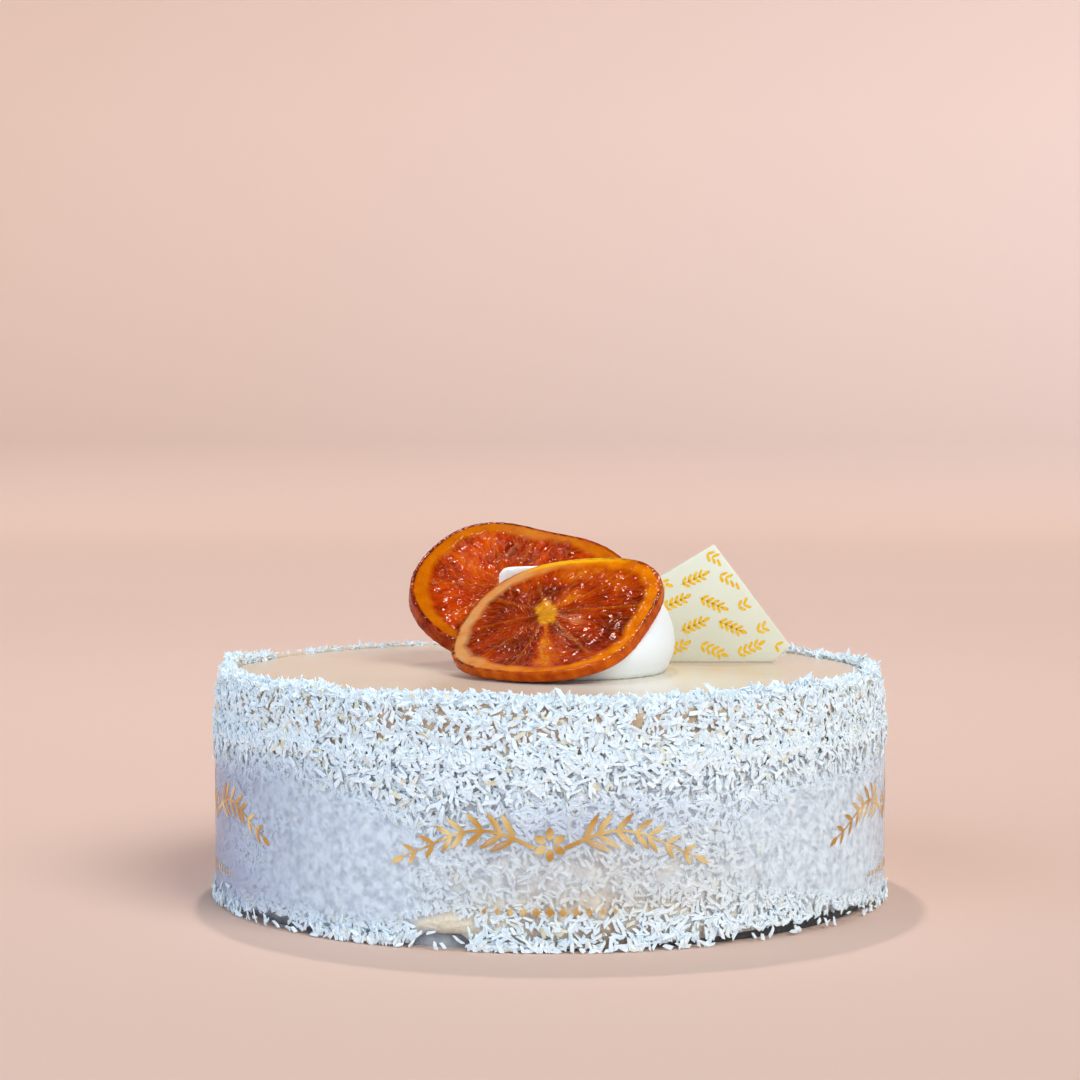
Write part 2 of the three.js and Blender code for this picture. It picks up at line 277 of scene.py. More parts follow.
def glaze_edge(angle):
    """How far out the glaze reaches: a slightly wavy circle."""
    return GLAZE_RADIUS + waves(angle, [(5, 0.5, 1.1), (8, 0.5, 0.3), (13, 0.4, 2.2)])


def rim_lift(angle):
    """How far the coconut stands above the glaze: less at the back, and least right of the front."""
    away = np.arctan2(np.sin(angle - radians(12)), np.cos(angle - radians(12)))
    dip = 1.5 * np.exp(-((away / radians(10)) ** 2))
    return 1.6 + waves(angle, [(1, 0.6, 0), (3, 0.3, 0.4), (7, 0.25, 1.9), (11, 0.2, 0.6)]) - dip


def by_angle(table, angle):
    """The value at an angle in radians, from a table of (angle in degrees, value)."""
    return np.interp(np.degrees(np.arctan2(np.sin(angle), np.cos(angle))), *zip(*table))


def side_radius(height, angle):
    """The side under the coconut: full near the top, tucked in at the rim and the foot, and lumpy."""
    bulge = BULGE * np.exp(-(((height - BULGE_HEIGHT) / 6) ** 2))
    tuck = 0.045 * np.maximum(0, height - 61) ** 2
    foot = 0.12 * np.maximum(0, 8 - height)
    lumps = waves(angle, [(4, 0.15, 0.8), (9, 0.12, 2.4)]) * np.cos(height / 9)
    return SIDE_RADIUS + bulge - tuck - foot + lumps


def in_bare_patch(angle, height):
    """Above 0 in the patch low at the front left where the coconut has come off."""
    return 1 - ((np.degrees(angle) + 16.5) / 6) ** 2 - ((height - 6.8) / 3.2) ** 2


def thin_coat(angle, height):
    """Where the coconut behind the film is thin, low at the front, from 0 to 1."""
    angle = np.arctan2(np.sin(angle), np.cos(angle))
    return np.exp(-(((np.degrees(angle) - 6) / 28) ** 2)) * (1 - smooth_step(20, 40, height))


def film_radius(angle):
    """The middle of the film, which winds outwards a little from one end to the other."""
    return FILM_MIDDLE + FILM_SPREAD * angle / pi


# Materials


def coconut_look(tree, colours):
    """Desiccated coconut, shredded and dried: dull white, with a few creamy and toasted pieces.

    The attribute "warm" goes from 0 to 1 where the coat is thin low at the front behind the film, and there
    the shreds are given a painted warm grey shade.
    """
    spot = add(tree, "TexCoord").outputs["Object"]
    shade = add(tree, "Attribute", attribute_name="shade").outputs["Fac"]
    stops = [(0, "#eff4f8"), (0.5, "#fbfdff"), (0.93, "#fffffb"), (0.98, "#f6eeda"), (1, "#efdcba")]
    colour = add(tree, "ValToRGB", {"Fac": shade}, stops=stops)
    tint = {SHARE: 1.0, FROM: colour, TO: colours.coconut}
    tinted = add(tree, "Mix", tint, data_type="RGBA", blend_type="MULTIPLY")
    # Painted shade: shreds low at the front behind the film are tinted a warm grey
    warm = add(tree, "Attribute", attribute_name="warm").outputs["Fac"]
    painted_warm_shade = add(tree, "Math", {0: warm, 1: 0.65}, operation="MULTIPLY")
    with_painted_warm_shade = add(tree, "Mix", {SHARE: painted_warm_shade, FROM: tinted, TO: "#dcd4c4"}, data_type="RGBA")
    grain = add(tree, "TexNoise", {"Vector": spot, "Scale": 1 / (0.5 * MM), "Detail": 2})
    bump = add(tree, "Bump", {"Strength": 0.4, "Distance": 0.15 * MM, "Height": grain})
    return {
        "Base Color": with_painted_warm_shade,
        "Roughness": 0.72,
        "Specular IOR Level": 0.3,
        **soft(0.06, (1, 0.95, 0.85), 0.6),
        "Normal": bump,
    }


def underlay_look(tree):
    """The sticky glaze on the side under the coconut.

    The attribute "bare" goes from 0 where fine white crumbs cover it, over 0.5 where cream shows, to 1 where
    the tan glaze shows. The covered end is painted a bluish grey and the tan end deeper than the glaze on
    top, as painted shade in the gaps between the shreds.
    """
    spot = add(tree, "TexCoord").outputs["Object"]
    bare = add(tree, "Attribute", attribute_name="bare").outputs["Fac"]
    # Painted shade: a bluish grey where crumbs cover the glaze, and a tan deeper than the glaze on top, for
    # the shade in the gaps between the shreds
    covered = [(0, "#c9cfd9"), (0.25, "#ced1d4"), (0.5, "#f0e6ca")]
    tan = [(0.62, "#d4c6b2"), (0.8, "#c3ac90"), (1, "#b3977a")]
    colour = add(tree, "ValToRGB", {"Fac": bare}, stops=covered + tan)
    crumbs = add(tree, "TexVoronoi", {"Vector": spot, "Scale": 1 / (1.6 * MM)})
    bump = add(tree, "Bump", {"Strength": 0.8, "Distance": 0.5 * MM, "Height": crumbs})
    return {"Base Color": colour, "Roughness": 0.6, "Normal": bump}


def glaze_look(tree, colours):
    """Poured white chocolate glaze: smooth and opaque, slowly uneven, and whiter beside the cream, where
    cream has melted into it and where painted light lifts the shade in front of the front slice.
    """
    spot = add(tree, "TexCoord").outputs["Object"]
    cloud = add(tree, "TexNoise", {"Vector": spot, "Scale": 1 / (45 * MM), "Detail": 2})
    tone = add(tree, "Mix", {SHARE: cloud, FROM: colours.glaze, TO: "#dacdb8"}, data_type="RGBA")
    # Painted light: a whiter patch in front of the front slice and the cream, partly melted cream and partly
    # painted light that lifts the shade there
    cream_melt_and_painted_light_centre = Vector((20, -42, GLAZE_TOP)) * MM
    apart = add(tree, "VectorMath", {0: spot, 1: cream_melt_and_painted_light_centre}, operation="DISTANCE").outputs["Value"]
    fading = {"Value": apart, "From Min": 14 * MM, "From Max": 50 * MM, "To Min": 0.8, "To Max": 0}
    creamy = add(tree, "MapRange", fading)
    melted_and_painted_light = add(tree, "Mix", {SHARE: creamy, FROM: tone, TO: "#f4f0e2"}, data_type="RGBA")
    bump = add(tree, "Bump", {"Strength": 0.25, "Distance": 1 * MM, "Height": cloud})
    return {
        "Base Color": melted_and_painted_light,
        "Roughness": 0.24,
        **soft(0.2, (1, 0.8, 0.5), 2),
        "Normal": bump,
    }


def film_look(tree, colours):
    """Acetate film, extruded: clear and glossy, but foggy where moisture has settled behind it.

    The attribute "fog" says how much of what lies behind each point is veiled. The other attribute is
    painted shade: how far the veil turns from white to a lavender grey, towards the left and right edges and
    in the band under the coconut's edge at the front.
    """
    spot = add(tree, "TexCoord").outputs["Object"]
    fog = add(tree, "Attribute", attribute_name="fog").outputs["Fac"]
    painted_shade = add(tree, "Attribute", attribute_name="painted_shade").outputs["Fac"]
    smear = add(tree, "TexNoise", {"Vector": spot, "Scale": 1 / (2.4 * MM), "Detail": 1.5})
    stops = [(0.34, "#dadde3"), (0.5, "#edeff3"), (0.62, "#fbfbfd")]
    cloud = add(tree, "ValToRGB", {"Fac": smear}, stops=stops)
    tint = {SHARE: 1.0, FROM: cloud, TO: colours.film}
    milky = add(tree, "Mix", tint, data_type="RGBA", blend_type="MULTIPLY")
    # Painted shade: the veil turns lavender grey towards the film's left and right edges and in the shaded
    # band at the front
    veil = add(tree, "Mix", {SHARE: painted_shade, FROM: milky, TO: "#b0b3c9"}, data_type="RGBA")
    gloss = {"Roughness": 0.2, "IOR": 1.48, "Specular IOR Level": 0.25}
    return {"Base Color": veil, "Alpha": fog, **gloss}


def gold_look(tree, colours):
    """Gold foil, hot-stamped on the film: bright metal, a little mottled."""
    spot = add(tree, "TexCoord").outputs["Object"]
    mottle = add(tree, "TexNoise", {"Vector": spot, "Scale": 1 / (3 * MM), "Detail": 2})
    rough = add(tree, "MapRange", {"Value": mottle, "To Min": 0.22, "To Max": 0.5})
    worn = add(tree, "TexNoise", {"Vector": spot, "Scale": 1 / (11 * MM), "Detail": 1})
    dull = add(tree, "MapRange", {"Value": worn, "From Min": 0.4, "From Max": 0.56})
    tone = add(tree, "Mix", {SHARE: dull, FROM: colours.gold, TO: "#dbad5a"}, data_type="RGBA")
    return {"Base Color": tone, "Metallic": 1.0, "Roughness": rough}


def candied_orange_look(tree, fresh):
    """Orange slice, candied in syrup and dried: glassy amber rind round dark, fibrous flesh.

    The attributes give each point's place on the orange. "pulp" is across, uphill and depth from the
    orange's core in millimetres. "ring" is its share of the flesh, its nearness to a membrane and its
    share of the outline. "tone" is how thin and light the flesh is, how tan the pith is and how dark
    the edge of the rind is; the light flesh is partly a painted glow of light shining through thin
    flesh. "zest" is how yellow the rim is, how pale the strands are and whether this is the core; the
    pale strands are partly painted highlights. A fresh slice is redder and less browned.
    """
    pulp = add(tree, "Attribute", attribute_name="pulp").outputs["Vector"]
    split = {}
    for kind in ("ring", "tone", "zest"):
        vector = add(tree, "Attribute", attribute_name=kind).outputs["Vector"]
        split[kind] = add(tree, "SeparateXYZ", {"Vector": vector}).outputs
    ring, tone, zest = split["ring"], split["tone"], split["zest"]

    # Coordinates that run out from the core, so that a pattern on them is stretched along the fibres
    sway = add(tree, "TexNoise", {"Vector": pulp, "Scale": 1 / 9, "Detail": 2}).outputs["Color"]
    swayed = add(tree, "VectorMath", {0: sway, 1: (7, 7, 0), 2: pulp}, operation="MULTIPLY_ADD")
    flat = add(tree, "VectorMath", {0: swayed, 1: (1, 1, 0)}, operation="MULTIPLY")
    heading = add(tree, "VectorMath", {0: flat}, operation="NORMALIZE")
    reach = add(tree, "VectorMath", {0: flat}, operation="LENGTH").outputs["Value"]
    radial = {}
    for use, fineness, stretch in (("strands", 11.0, 0.16), ("sacs", 11.0, 0.5), ("wisps", 14.0, 0.09)):
        spread = add(tree, "VectorMath", {0: heading, "Scale": fineness}, operation="SCALE")
        along = add(tree, "Math", {0: reach, 1: stretch}, operation="MULTIPLY")
        outward = add(tree, "CombineXYZ", {"Z": along})
        radial[use] = add(tree, "VectorMath", {0: spread, 1: outward}, operation="ADD")
    fibre = add(tree, "TexNoise", {"Vector": radial["strands"], "Scale": 1.0, "Detail": 4, "Roughness": 0.7})
    sacs = add(tree, "TexVoronoi", {"Vector": radial["sacs"], "Scale": 1.0}, feature="SMOOTH_F1")
    wisps = add(tree, "TexNoise", {"Vector": radial["wisps"], "Scale": 1.0, "Detail": 2, "Distortion": 0.6})

    # Flesh: dark and light along the fibres, lighter where thin with a painted glow of light through it,
    # with light lines, membranes, pale streaks that are partly painted highlights, and the core
    depth = add(tree, "Math", {0: fibre, 1: 0.5}, operation="SUBTRACT")
    # Lighter flesh where it is thin, and partly a painted glow of light shining through it
    glow = add(tree, "MapRange", {"Value": tone["X"], "To Min": 0.22, "To Max": 0.85})
    contrast = {0: depth, 1: 1.1 if fresh else 0.75, 2: glow}
    light = add(tree, "Math", contrast, operation="MULTIPLY_ADD", use_clamp=True)
    dried = [(0, "#340500"), (0.3, "#701501"), (0.55, "#a52c01"), (0.8, "#c65604"), (1, "#de8a10")]
    moist = [(0, "#540e00"), (0.3, "#902000"), (0.55, "#be3a01"), (0.8, "#d85a04"), (1, "#ea8610")]
    flesh = add(tree, "ValToRGB", {"Fac": light}, stops=moist if fresh else dried)
    lines = [(0.455, 0.0), (0.49, 0.5), (0.525, 0.0), (0.6, 0.0), (0.64, 0.35), (0.68, 0.0)]
    strand = add(tree, "ValToRGB", {"Fac": wisps}, stops=lines)
    web = add(tree, "Math", {0: ring["Y"], 1: 0.3}, operation="MULTIPLY")
    # Pale streaks: light strands in the flesh, painted in part as highlights
    streaks = [(0.44, 0.0), (0.47, 1.0), (0.5, 0.0), (0.54, 0.0), (0.57, 0.9), (0.6, 0.0)]
    pale = add(tree, "ValToRGB", {"Fac": wisps}, stops=streaks)
    pale_streak_and_highlight = add(tree, "Math", {0: pale, 1: zest["Y"]}, operation="MULTIPLY", use_clamp=True)

    # Pith and rind
    blotch = add(tree, "TexNoise", {"Vector": pulp, "Scale": 1 / 7, "Detail": 3})
    dried = [(0.3, "#c65e02"), (0.5, "#df7402"), (0.7, "#e4840a")]
    moist = [(0.3, "#b04e02"), (0.5, "#c26203"), (0.7, "#cc7006")]
    amber = add(tree, "ValToRGB", {"Fac": blotch}, stops=moist if fresh else dried)
    pith = add(tree, "Mix", {SHARE: tone["Y"], FROM: amber, TO: "#d0945a"}, data_type="RGBA")
    in_pith = add(tree, "MapRange", {"Value": ring["X"], "From Min": 0.96, "From Max": 1.04})
    speckle = add(tree, "TexNoise", {"Vector": pulp, "Scale": 1 / 3, "Detail": 3})
    dried = [(0.32, "#a83e07"), (0.5, "#bc4e05"), (0.66, "#cc6009")]
    moist = [(0.32, "#861e0a"), (0.5, "#a0340e"), (0.66, "#b64a10")]
    rind = add(tree, "ValToRGB", {"Fac": speckle}, stops=moist if fresh else dried)
    in_rind = add(tree, "MapRange", {"Value": ring["Z"], "From Min": 0.955, "From Max": 0.98})

    colour = flesh
    for share, over in (
        (strand, "#c45c08"),
        (web, "#d0700e"),
        (pale_streak_and_highlight, "#f0d4b0"),
        (zest["Z"], "#b8641a" if fresh else "#d88c10"),
        (in_pith, pith),
        (in_rind, rind),
        (zest["X"], "#f4b414"),
        (tone["Z"], "#561008"),
    ):
        colour = add(tree, "Mix", {SHARE: share, FROM: colour, TO: over}, data_type="RGBA")

    wet = {"Value": in_pith, "To Min": 0.085 if fresh else 0.05, "To Max": 0.008}
    gloss = add(tree, "MapRange", wet)
    shine = add(tree, "Math", {0: in_rind, 1: 0.05, 2: gloss}, operation="MULTIPLY_ADD")
    domes = add(tree, "Math", {0: 1.0, 1: sacs}, operation="SUBTRACT")
    pores = add(tree, "TexVoronoi", {"Vector": pulp, "Scale": 1 / 1.1})
    pits = add(tree, "Math", {0: pores, 1: 0.18}, operation="MULTIPLY")
    relief = add(tree, "Mix", {0: in_pith, 2: domes, 3: pits})
    bump = add(tree, "Bump", {"Strength": 0.8, "Distance": 0.8 * MM, "Height": relief})
    fine = add(tree, "Bump", {"Strength": 0.3, "Distance": 0.3 * MM, "Height": wisps, "Normal": bump})
    return {
        "Base Color": colour,
        "Roughness": 0.16,
        "Specular IOR Level": shine,
        **soft(0.1, (1, 0.3, 0.05), 1.5),
        "Normal": fine,
    }


def cream_look(tree, colours):
    """Whipped cream, scooped: smooth, cool white and softly lit from inside."""
    spot = add(tree, "TexCoord").outputs["Object"]
    air = add(tree, "TexNoise", {"Vector": spot, "Scale": 1 / (6 * MM), "Detail": 4})
    bump = add(tree, "Bump", {"Strength": 0.3, "Distance": 0.5 * MM, "Height": air})
    return {
        "Base Color": colours.cream,
        "Roughness": 0.42,
        **soft(0.35, (1, 0.95, 0.85), 2),
        "Normal": bump,
    }


def chocolate_look(tree, colours):
    """White chocolate, set on a smooth sheet: ivory with a waxy gloss."""
    spot = add(tree, "TexCoord").outputs["Object"]
    cloud = add(tree, "TexNoise", {"Vector": spot, "Scale": 1 / (14 * MM), "Detail": 2})
    tones = {SHARE: cloud, FROM: colours.chocolate, TO: "#e6e8d6"}
    return {
        "Base Color": add(tree, "Mix", tones, data_type="RGBA"),
        "Roughness": 0.36,
        **soft(0.2, (1, 0.85, 0.55), 1.5),
    }


def cocoa_butter_ink_look(tree):
    """Coloured cocoa butter, transfer-printed on the chocolate: golden yellow, almost matt."""
    spot = add(tree, "TexCoord").outputs["Object"]
    fleck = add(tree, "TexNoise", {"Vector": spot, "Scale": 1 / (0.8 * MM), "Detail": 2})
    colour = add(tree, "ValToRGB", {"Fac": fleck}, stops=[(0.3, "#ecae04"), (0.6, "#f8c814")])
    return {"Base Color": colour, "Roughness": 0.5}


def base_look(tree):
    """The dark layer at the foot: brown-black and dull, with crumbs caught on it."""
    spot = add(tree, "TexCoord").outputs["Object"]
    grain = add(tree, "TexNoise", {"Vector": spot, "Scale": 1 / (1.2 * MM), "Detail": 3})
    stops = [(0.35, "#1d1a1b"), (0.6, "#33302f"), (0.75, "#4c4a49")]
    colour = add(tree, "ValToRGB", {"Fac": grain}, stops=stops)
    bump = add(tree, "Bump", {"Strength": 0.5, "Distance": 0.3 * MM, "Height": grain})
    return {"Base Color": colour, "Roughness": 0.65, "Normal": bump}


def paper_look(tree):
    """Studio paper, matt: warm pinkish beige, with painted shade that makes it a little darker at the left
    and where it bends, and painted light that makes the level paper lighter further back.
    """
    spot = add(tree, "TexCoord").outputs["Object"]
    place = add(tree, "SeparateXYZ", {"Vector": spot}).outputs
    # Painted light: the level paper is lighter further back
    far = add(tree, "MapRange", {"Value": place["Y"], "From Min": 0.3, "From Max": 1.5})
    level = add(tree, "Mix", {SHARE: far, FROM: "#dec0af", TO: "#eccbb8"}, data_type="RGBA")
    # Painted shade: the wall is darker at the left
    right = add(tree, "MapRange", {"Value": place["X"], "From Min": -0.9, "From Max": 0.9})
    wall = add(tree, "Mix", {SHARE: right, FROM: "#d8b8a5", TO: "#e5c8ba"}, data_type="RGBA")
    # Painted shade: darker where the paper bends up
    dip = {"Value": place["Z"], "From Min": 0.1, "From Max": 0.65, "To Min": 0.91, "To Max": 1}
    painted_shade_share = add(tree, "MapRange", dip)
    painted_shade_wall = add(tree, "VectorMath", {0: wall, "Scale": painted_shade_share}, operation="SCALE")
    rise = add(tree, "MapRange", {"Value": place["Z"], "From Min": 0, "From Max": 0.12})
    colour = add(tree, "Mix", {SHARE: rise, FROM: level, TO: painted_shade_wall}, data_type="RGBA")
    return {"Base Color": colour, "Roughness": 0.9, "Specular IOR Level": 0.2}


# Coconut

# Kinds of shred, as (cuts along it, taper, skew)
CURLED_SHRED = (1, 0.16, 0.2)
PRESSED_SHRED = (0, 0.12, 0.2)
CRUMB = (0, 0.15, 0.3)


def shred_form(cuts, taper, skew):
    """One shred, a unit long, wide and thick, as its points and its faces."""
    bm = bmesh.new()
    bmesh.ops.create_cube(bm, size=1)
    lengthwise = [e for e in bm.edges if abs(e.verts[0].co.x - e.verts[1].co.x) > 0.5]
    if cuts:
        bmesh.ops.subdivide_edges(bm, edges=lengthwise, cuts=cuts)
    for vert in bm.verts:
        end = 2 * vert.co.x
        vert.co.x += skew * vert.co.y
        vert.co.y *= 1 - taper * end * end - 0.12 * end
        vert.co.z *= 1 - 0.4 * taper * abs(end)
    points = np.array([vert.co[:] for vert in bm.verts])
    faces = np.array([[vert.index for vert in face.verts] for face in bm.faces])
    bm.free()
    return points, faces


def turned(first, second, angle):
    """Rows of two square directions, the first turned towards the second by each angle."""
    near, far = np.cos(angle)[:, None], np.sin(angle)[:, None]
    return first * near + second * far, second * near - first * far


def room_outside(angle, furthest):
    """How far out a shred may reach at each angle, so that it stays in the model's box."""
    corner = np.maximum(np.abs(np.sin(angle)), np.abs(np.cos(angle)))
    return np.minimum((REACH - 0.02) / corner, furthest)


def scatter(name, kind, rng, spots, size, laid, material, limits):
    """Joins shreds of one kind into one piece.

    Spots are (angle, radius, height), size is (length, width, thickness) and laid is (turn, tilt,
    roll), all rows of arrays: the turn from level, the lift of one end off the side, and the twist
    about the shred's own length. Limits are the least and greatest radius that a shred may reach.
    """
    points, faces = shred_form(*kind)
    angle, radius, height = spots
    turn, tilt, roll = laid
    count = len(angle)
    zero = np.zeros(count)
    out = np.stack([np.sin(angle), -np.cos(angle), zero], 1)
    along = np.stack([np.cos(angle), np.sin(angle), zero], 1)
    up = np.stack([zero, zero, zero + 1], 1)
    flat, _ = turned(along, up, turn)
    grain, facing = turned(flat, out, tilt)
    across, facing = turned(np.cross(facing, grain), facing, roll)
    local = points[None] * size[:, None]
    bow = rng.uniform(-0.12, 0.12, count)
    local[..., 2] += (bow * size[:, 0])[:, None] * (2 * points[None, :, 0]) ** 2
    world = np.einsum("nvi,nij->nvj", local, np.stack([grain, across, facing], 1))
    world += (out * radius[:, None] + up * height[:, None])[:, None]
    reach = np.hypot(world[..., 0], world[..., 1])
    least, most = limits
    shift = np.maximum(least - reach.min(1), 0)
    shift -= np.maximum(reach.max(1) + shift - most, 0)
    world += (out * shift[:, None])[:, None]
    world[..., 2] += np.maximum(0.1 - world[..., 2].min(1), 0)[:, None]
    edge = REACH - 0.01
    world[..., :2] = np.clip(world[..., :2], -edge, edge)
    mesh = bpy.data.meshes.new(name)
    starts = np.arange(count)[:, None, None] * len(points)
    mesh.from_pydata((world * MM).reshape(-1, 3), [], (faces[None] + starts).reshape(-1, faces.shape[1]))
    # Painted shade: how far the shreds where the coat is thin low at the front are tinted a warm grey
    painted_warm_shade = thin_coat(angle, height) * smooth_step(7, 14, height)
    for label, values in (("shade", rng.random(count)), ("warm", painted_warm_shade)):
        layer = mesh.attributes.new(label, "FLOAT", "POINT")
        layer.data.foreach_set("value", np.repeat(values, len(points)))
    return place_piece(name, mesh, material, "cake_body")


def shred_sizes(rng, count, *middling):
    """Sizes that vary from shred to shred about their middling length, width and thickness."""
    ranges = (0.6, 1.45), (0.7, 1.35), (0.7, 1.3)
    return np.stack([size * rng.uniform(*span, count) for size, span in zip(middling, ranges)], 1)


def lying(rng, count, tilt, roll):
    """Shreds turned every way, with their tilt and roll about that large."""
    turn = rng.uniform(0, pi, count)
    return turn, rng.normal(0, tilt, count), rng.normal(0, roll, count)


def patchy(angle, height, size, seed):
    """A cloud of noise over the side, about -1 to 1, with patches of that size in millimetres."""
    out = []
    for a, h in zip(angle, height):
        place = Vector((100 * sin(a), 100 * cos(a), h)) / size
        out.append(noise(place + Vector((seed, seed, seed))))
    return np.array(out)


def thrown(seed, count, low, high, start=-pi):
    """A random generator, and angles round the cake and heights that it has drawn."""
    rng = np.random.default_rng(seed)
    return rng, rng.uniform(start, start + TURN, count), rng.uniform(low, high, count)


def sifted(kept, *rows):
    """Each row, cut down to what is kept."""
    return [row[kept] for row in rows]


# Orange slices, as in the imported model: the middle, the way the cut face looks, the lobes of the
# outline as (count, size, phase), and the bends of the slice as (power across, power uphill, size).
# Headings are in degrees. The lights and the pale strands are (heading, spread, from, to, strength),
# with from and to as shares of the flesh, and the tan, the edge and the zest are (heading, spread,
# strength). The lights make the flesh lighter where it is thin, partly a painted glow of light
# shining through it, and the pale strands are partly painted highlights.

SLICES = {
    "orange_slice_front": {
        "centre": (1.3, -18.4, 82.6),
        "face": (-0.285, -0.432, 0.856),
        "radius": 32.9,
        "thickness": 3.5,
        "lobes": [(2, 0.033, 1.82), (3, 0.037, -2.83), (4, 0.041, 2.86)],
        "bends": [
            (2, 0, -0.9), (1, 1, -0.5), (0, 2, 2.75), (3, 0, -0.3), (2, 1, -0.5), (1, 2, 0.5), (0, 3, -1.4),
        ],
        "core": (-5.0, 4.0),
        "membranes": (12, 48, 83, 128, 165, 205, 252, 281, 322),
        "puckers": 0.6,
        "seed": 3.7,
        "fresh": False,
        "lights": [
            (298, 6, 0.15, 0.97, 0.9),
            (82, 42, 0.68, 1.0, 0.6),
            (-18, 14, 0.1, 0.5, 0.4),
            (60, 20, 0.12, 0.45, 0.5),
            (150, 30, 0.5, 0.9, 0.15),
        ],
        "tan": [(190, 50, 0.75), (245, 30, 0.6), (135, 30, 0.4)],
        "line": 0.5,
        "edge": [(225, 45, 1.0), (275, 30, 0.5), (20, 40, 0.9), (75, 25, 0.3)],
        "zest": [(99, 34, 0.95)],
        "pale": [(-10, 9, 0.12, 0.42, 0.8), (-42, 5, 0.15, 0.7, 0.25)],
    },
    "orange_slice_back": {
        "centre": (-9.6, 21.4, 87.85),
        "face": (0.136, -0.657, 0.742),
        "radius": 32.5,
        "thickness": 5.7,
        "lobes": [(2, 0.09, -0.64), (3, 0.084, -0.59), (4, 0.058, -0.48)],
        "bends": [
            (2, 0, 0.6), (1, 1, 0.9), (0, 2, 4.1), (3, 0, -1.3), (2, 1, 0.3), (1, 2, 1.75), (0, 3, -2.5),
        ],
        "core": (-2.5, 4.0),
        "membranes": (20, 60, 97, 140, 178, 214, 258, 300, 338),
        "puckers": 0.9,
        "seed": 11.2,
        "fresh": True,
        "lights": [(130, 40, 0.3, 0.8, 0.25), (200, 40, 0.2, 0.8, 0.2)],
        "tan": [(60, 25, 0.15)],
        "line": 0.5,
        "edge": [(150, 70, 1.0), (240, 40, 0.9), (60, 60, 0.6)],
        "zest": [],
        "pale": [(90, 60, 0.5, 0.9, 0.12)],
    },
}

# How far out a bend grows to its size, and the share of the outline where the flesh ends
BEND_SPAN = 32
FLESH_EDGE = 0.845


# Properties


def length_of(name, description, size):
    """A length property, from a size in millimetres."""
    return FloatProperty(name=name, description=description, default=size * MM, unit="LENGTH")


def colour_of(name, description, hex_colour):
    """A colour property, kept as linear values."""
    colour = linear(hex_colour)[:3]
    return FloatVectorProperty(
        name=name, description=description, subtype="COLOR", default=colour, min=0, max=1
    )


class CakeSizes(bpy.types.PropertyGroup):
    """The sizes and numbers that a user would change."""

    shred_length: length_of("Shred length", "Length of a middling coconut shred", 2.9)
    shred_width: length_of("Shred width", "Width of a middling coconut shred", 1.02)
    shred_thickness: length_of("Shred thickness", "Thickness of a middling coconut shred", 0.32)
    side_shreds: IntProperty(
        name="Side shreds", description="Shreds on the bare band above the film", default=9200
    )
    film_shreds: IntProperty(
        name="Film shreds", description="Shreds pressed behind the film", default=28000
    )
    film_thickness: length_of("Film thickness", "Thickness of the film round the side", 0.12)


class CakeColours(bpy.types.PropertyGroup):
    """The colours that a user would change."""

    coconut: colour_of("Coconut", "Tint of the coconut", "#eef9fd")
    glaze: colour_of("Glaze", "Colour of the glaze on top", "#d6c0a3")
    film: colour_of("Film", "Milky tone of the film", "#e9f1f5")
    gold: colour_of("Gold", "Colour of the foil print", "#ffeaa6")
    cream: colour_of("Cream", "Colour of the whipped cream", "#f0f8fa")
    chocolate: colour_of("Chocolate", "Colour of the white chocolate", "#e2e2cb")


# Operators


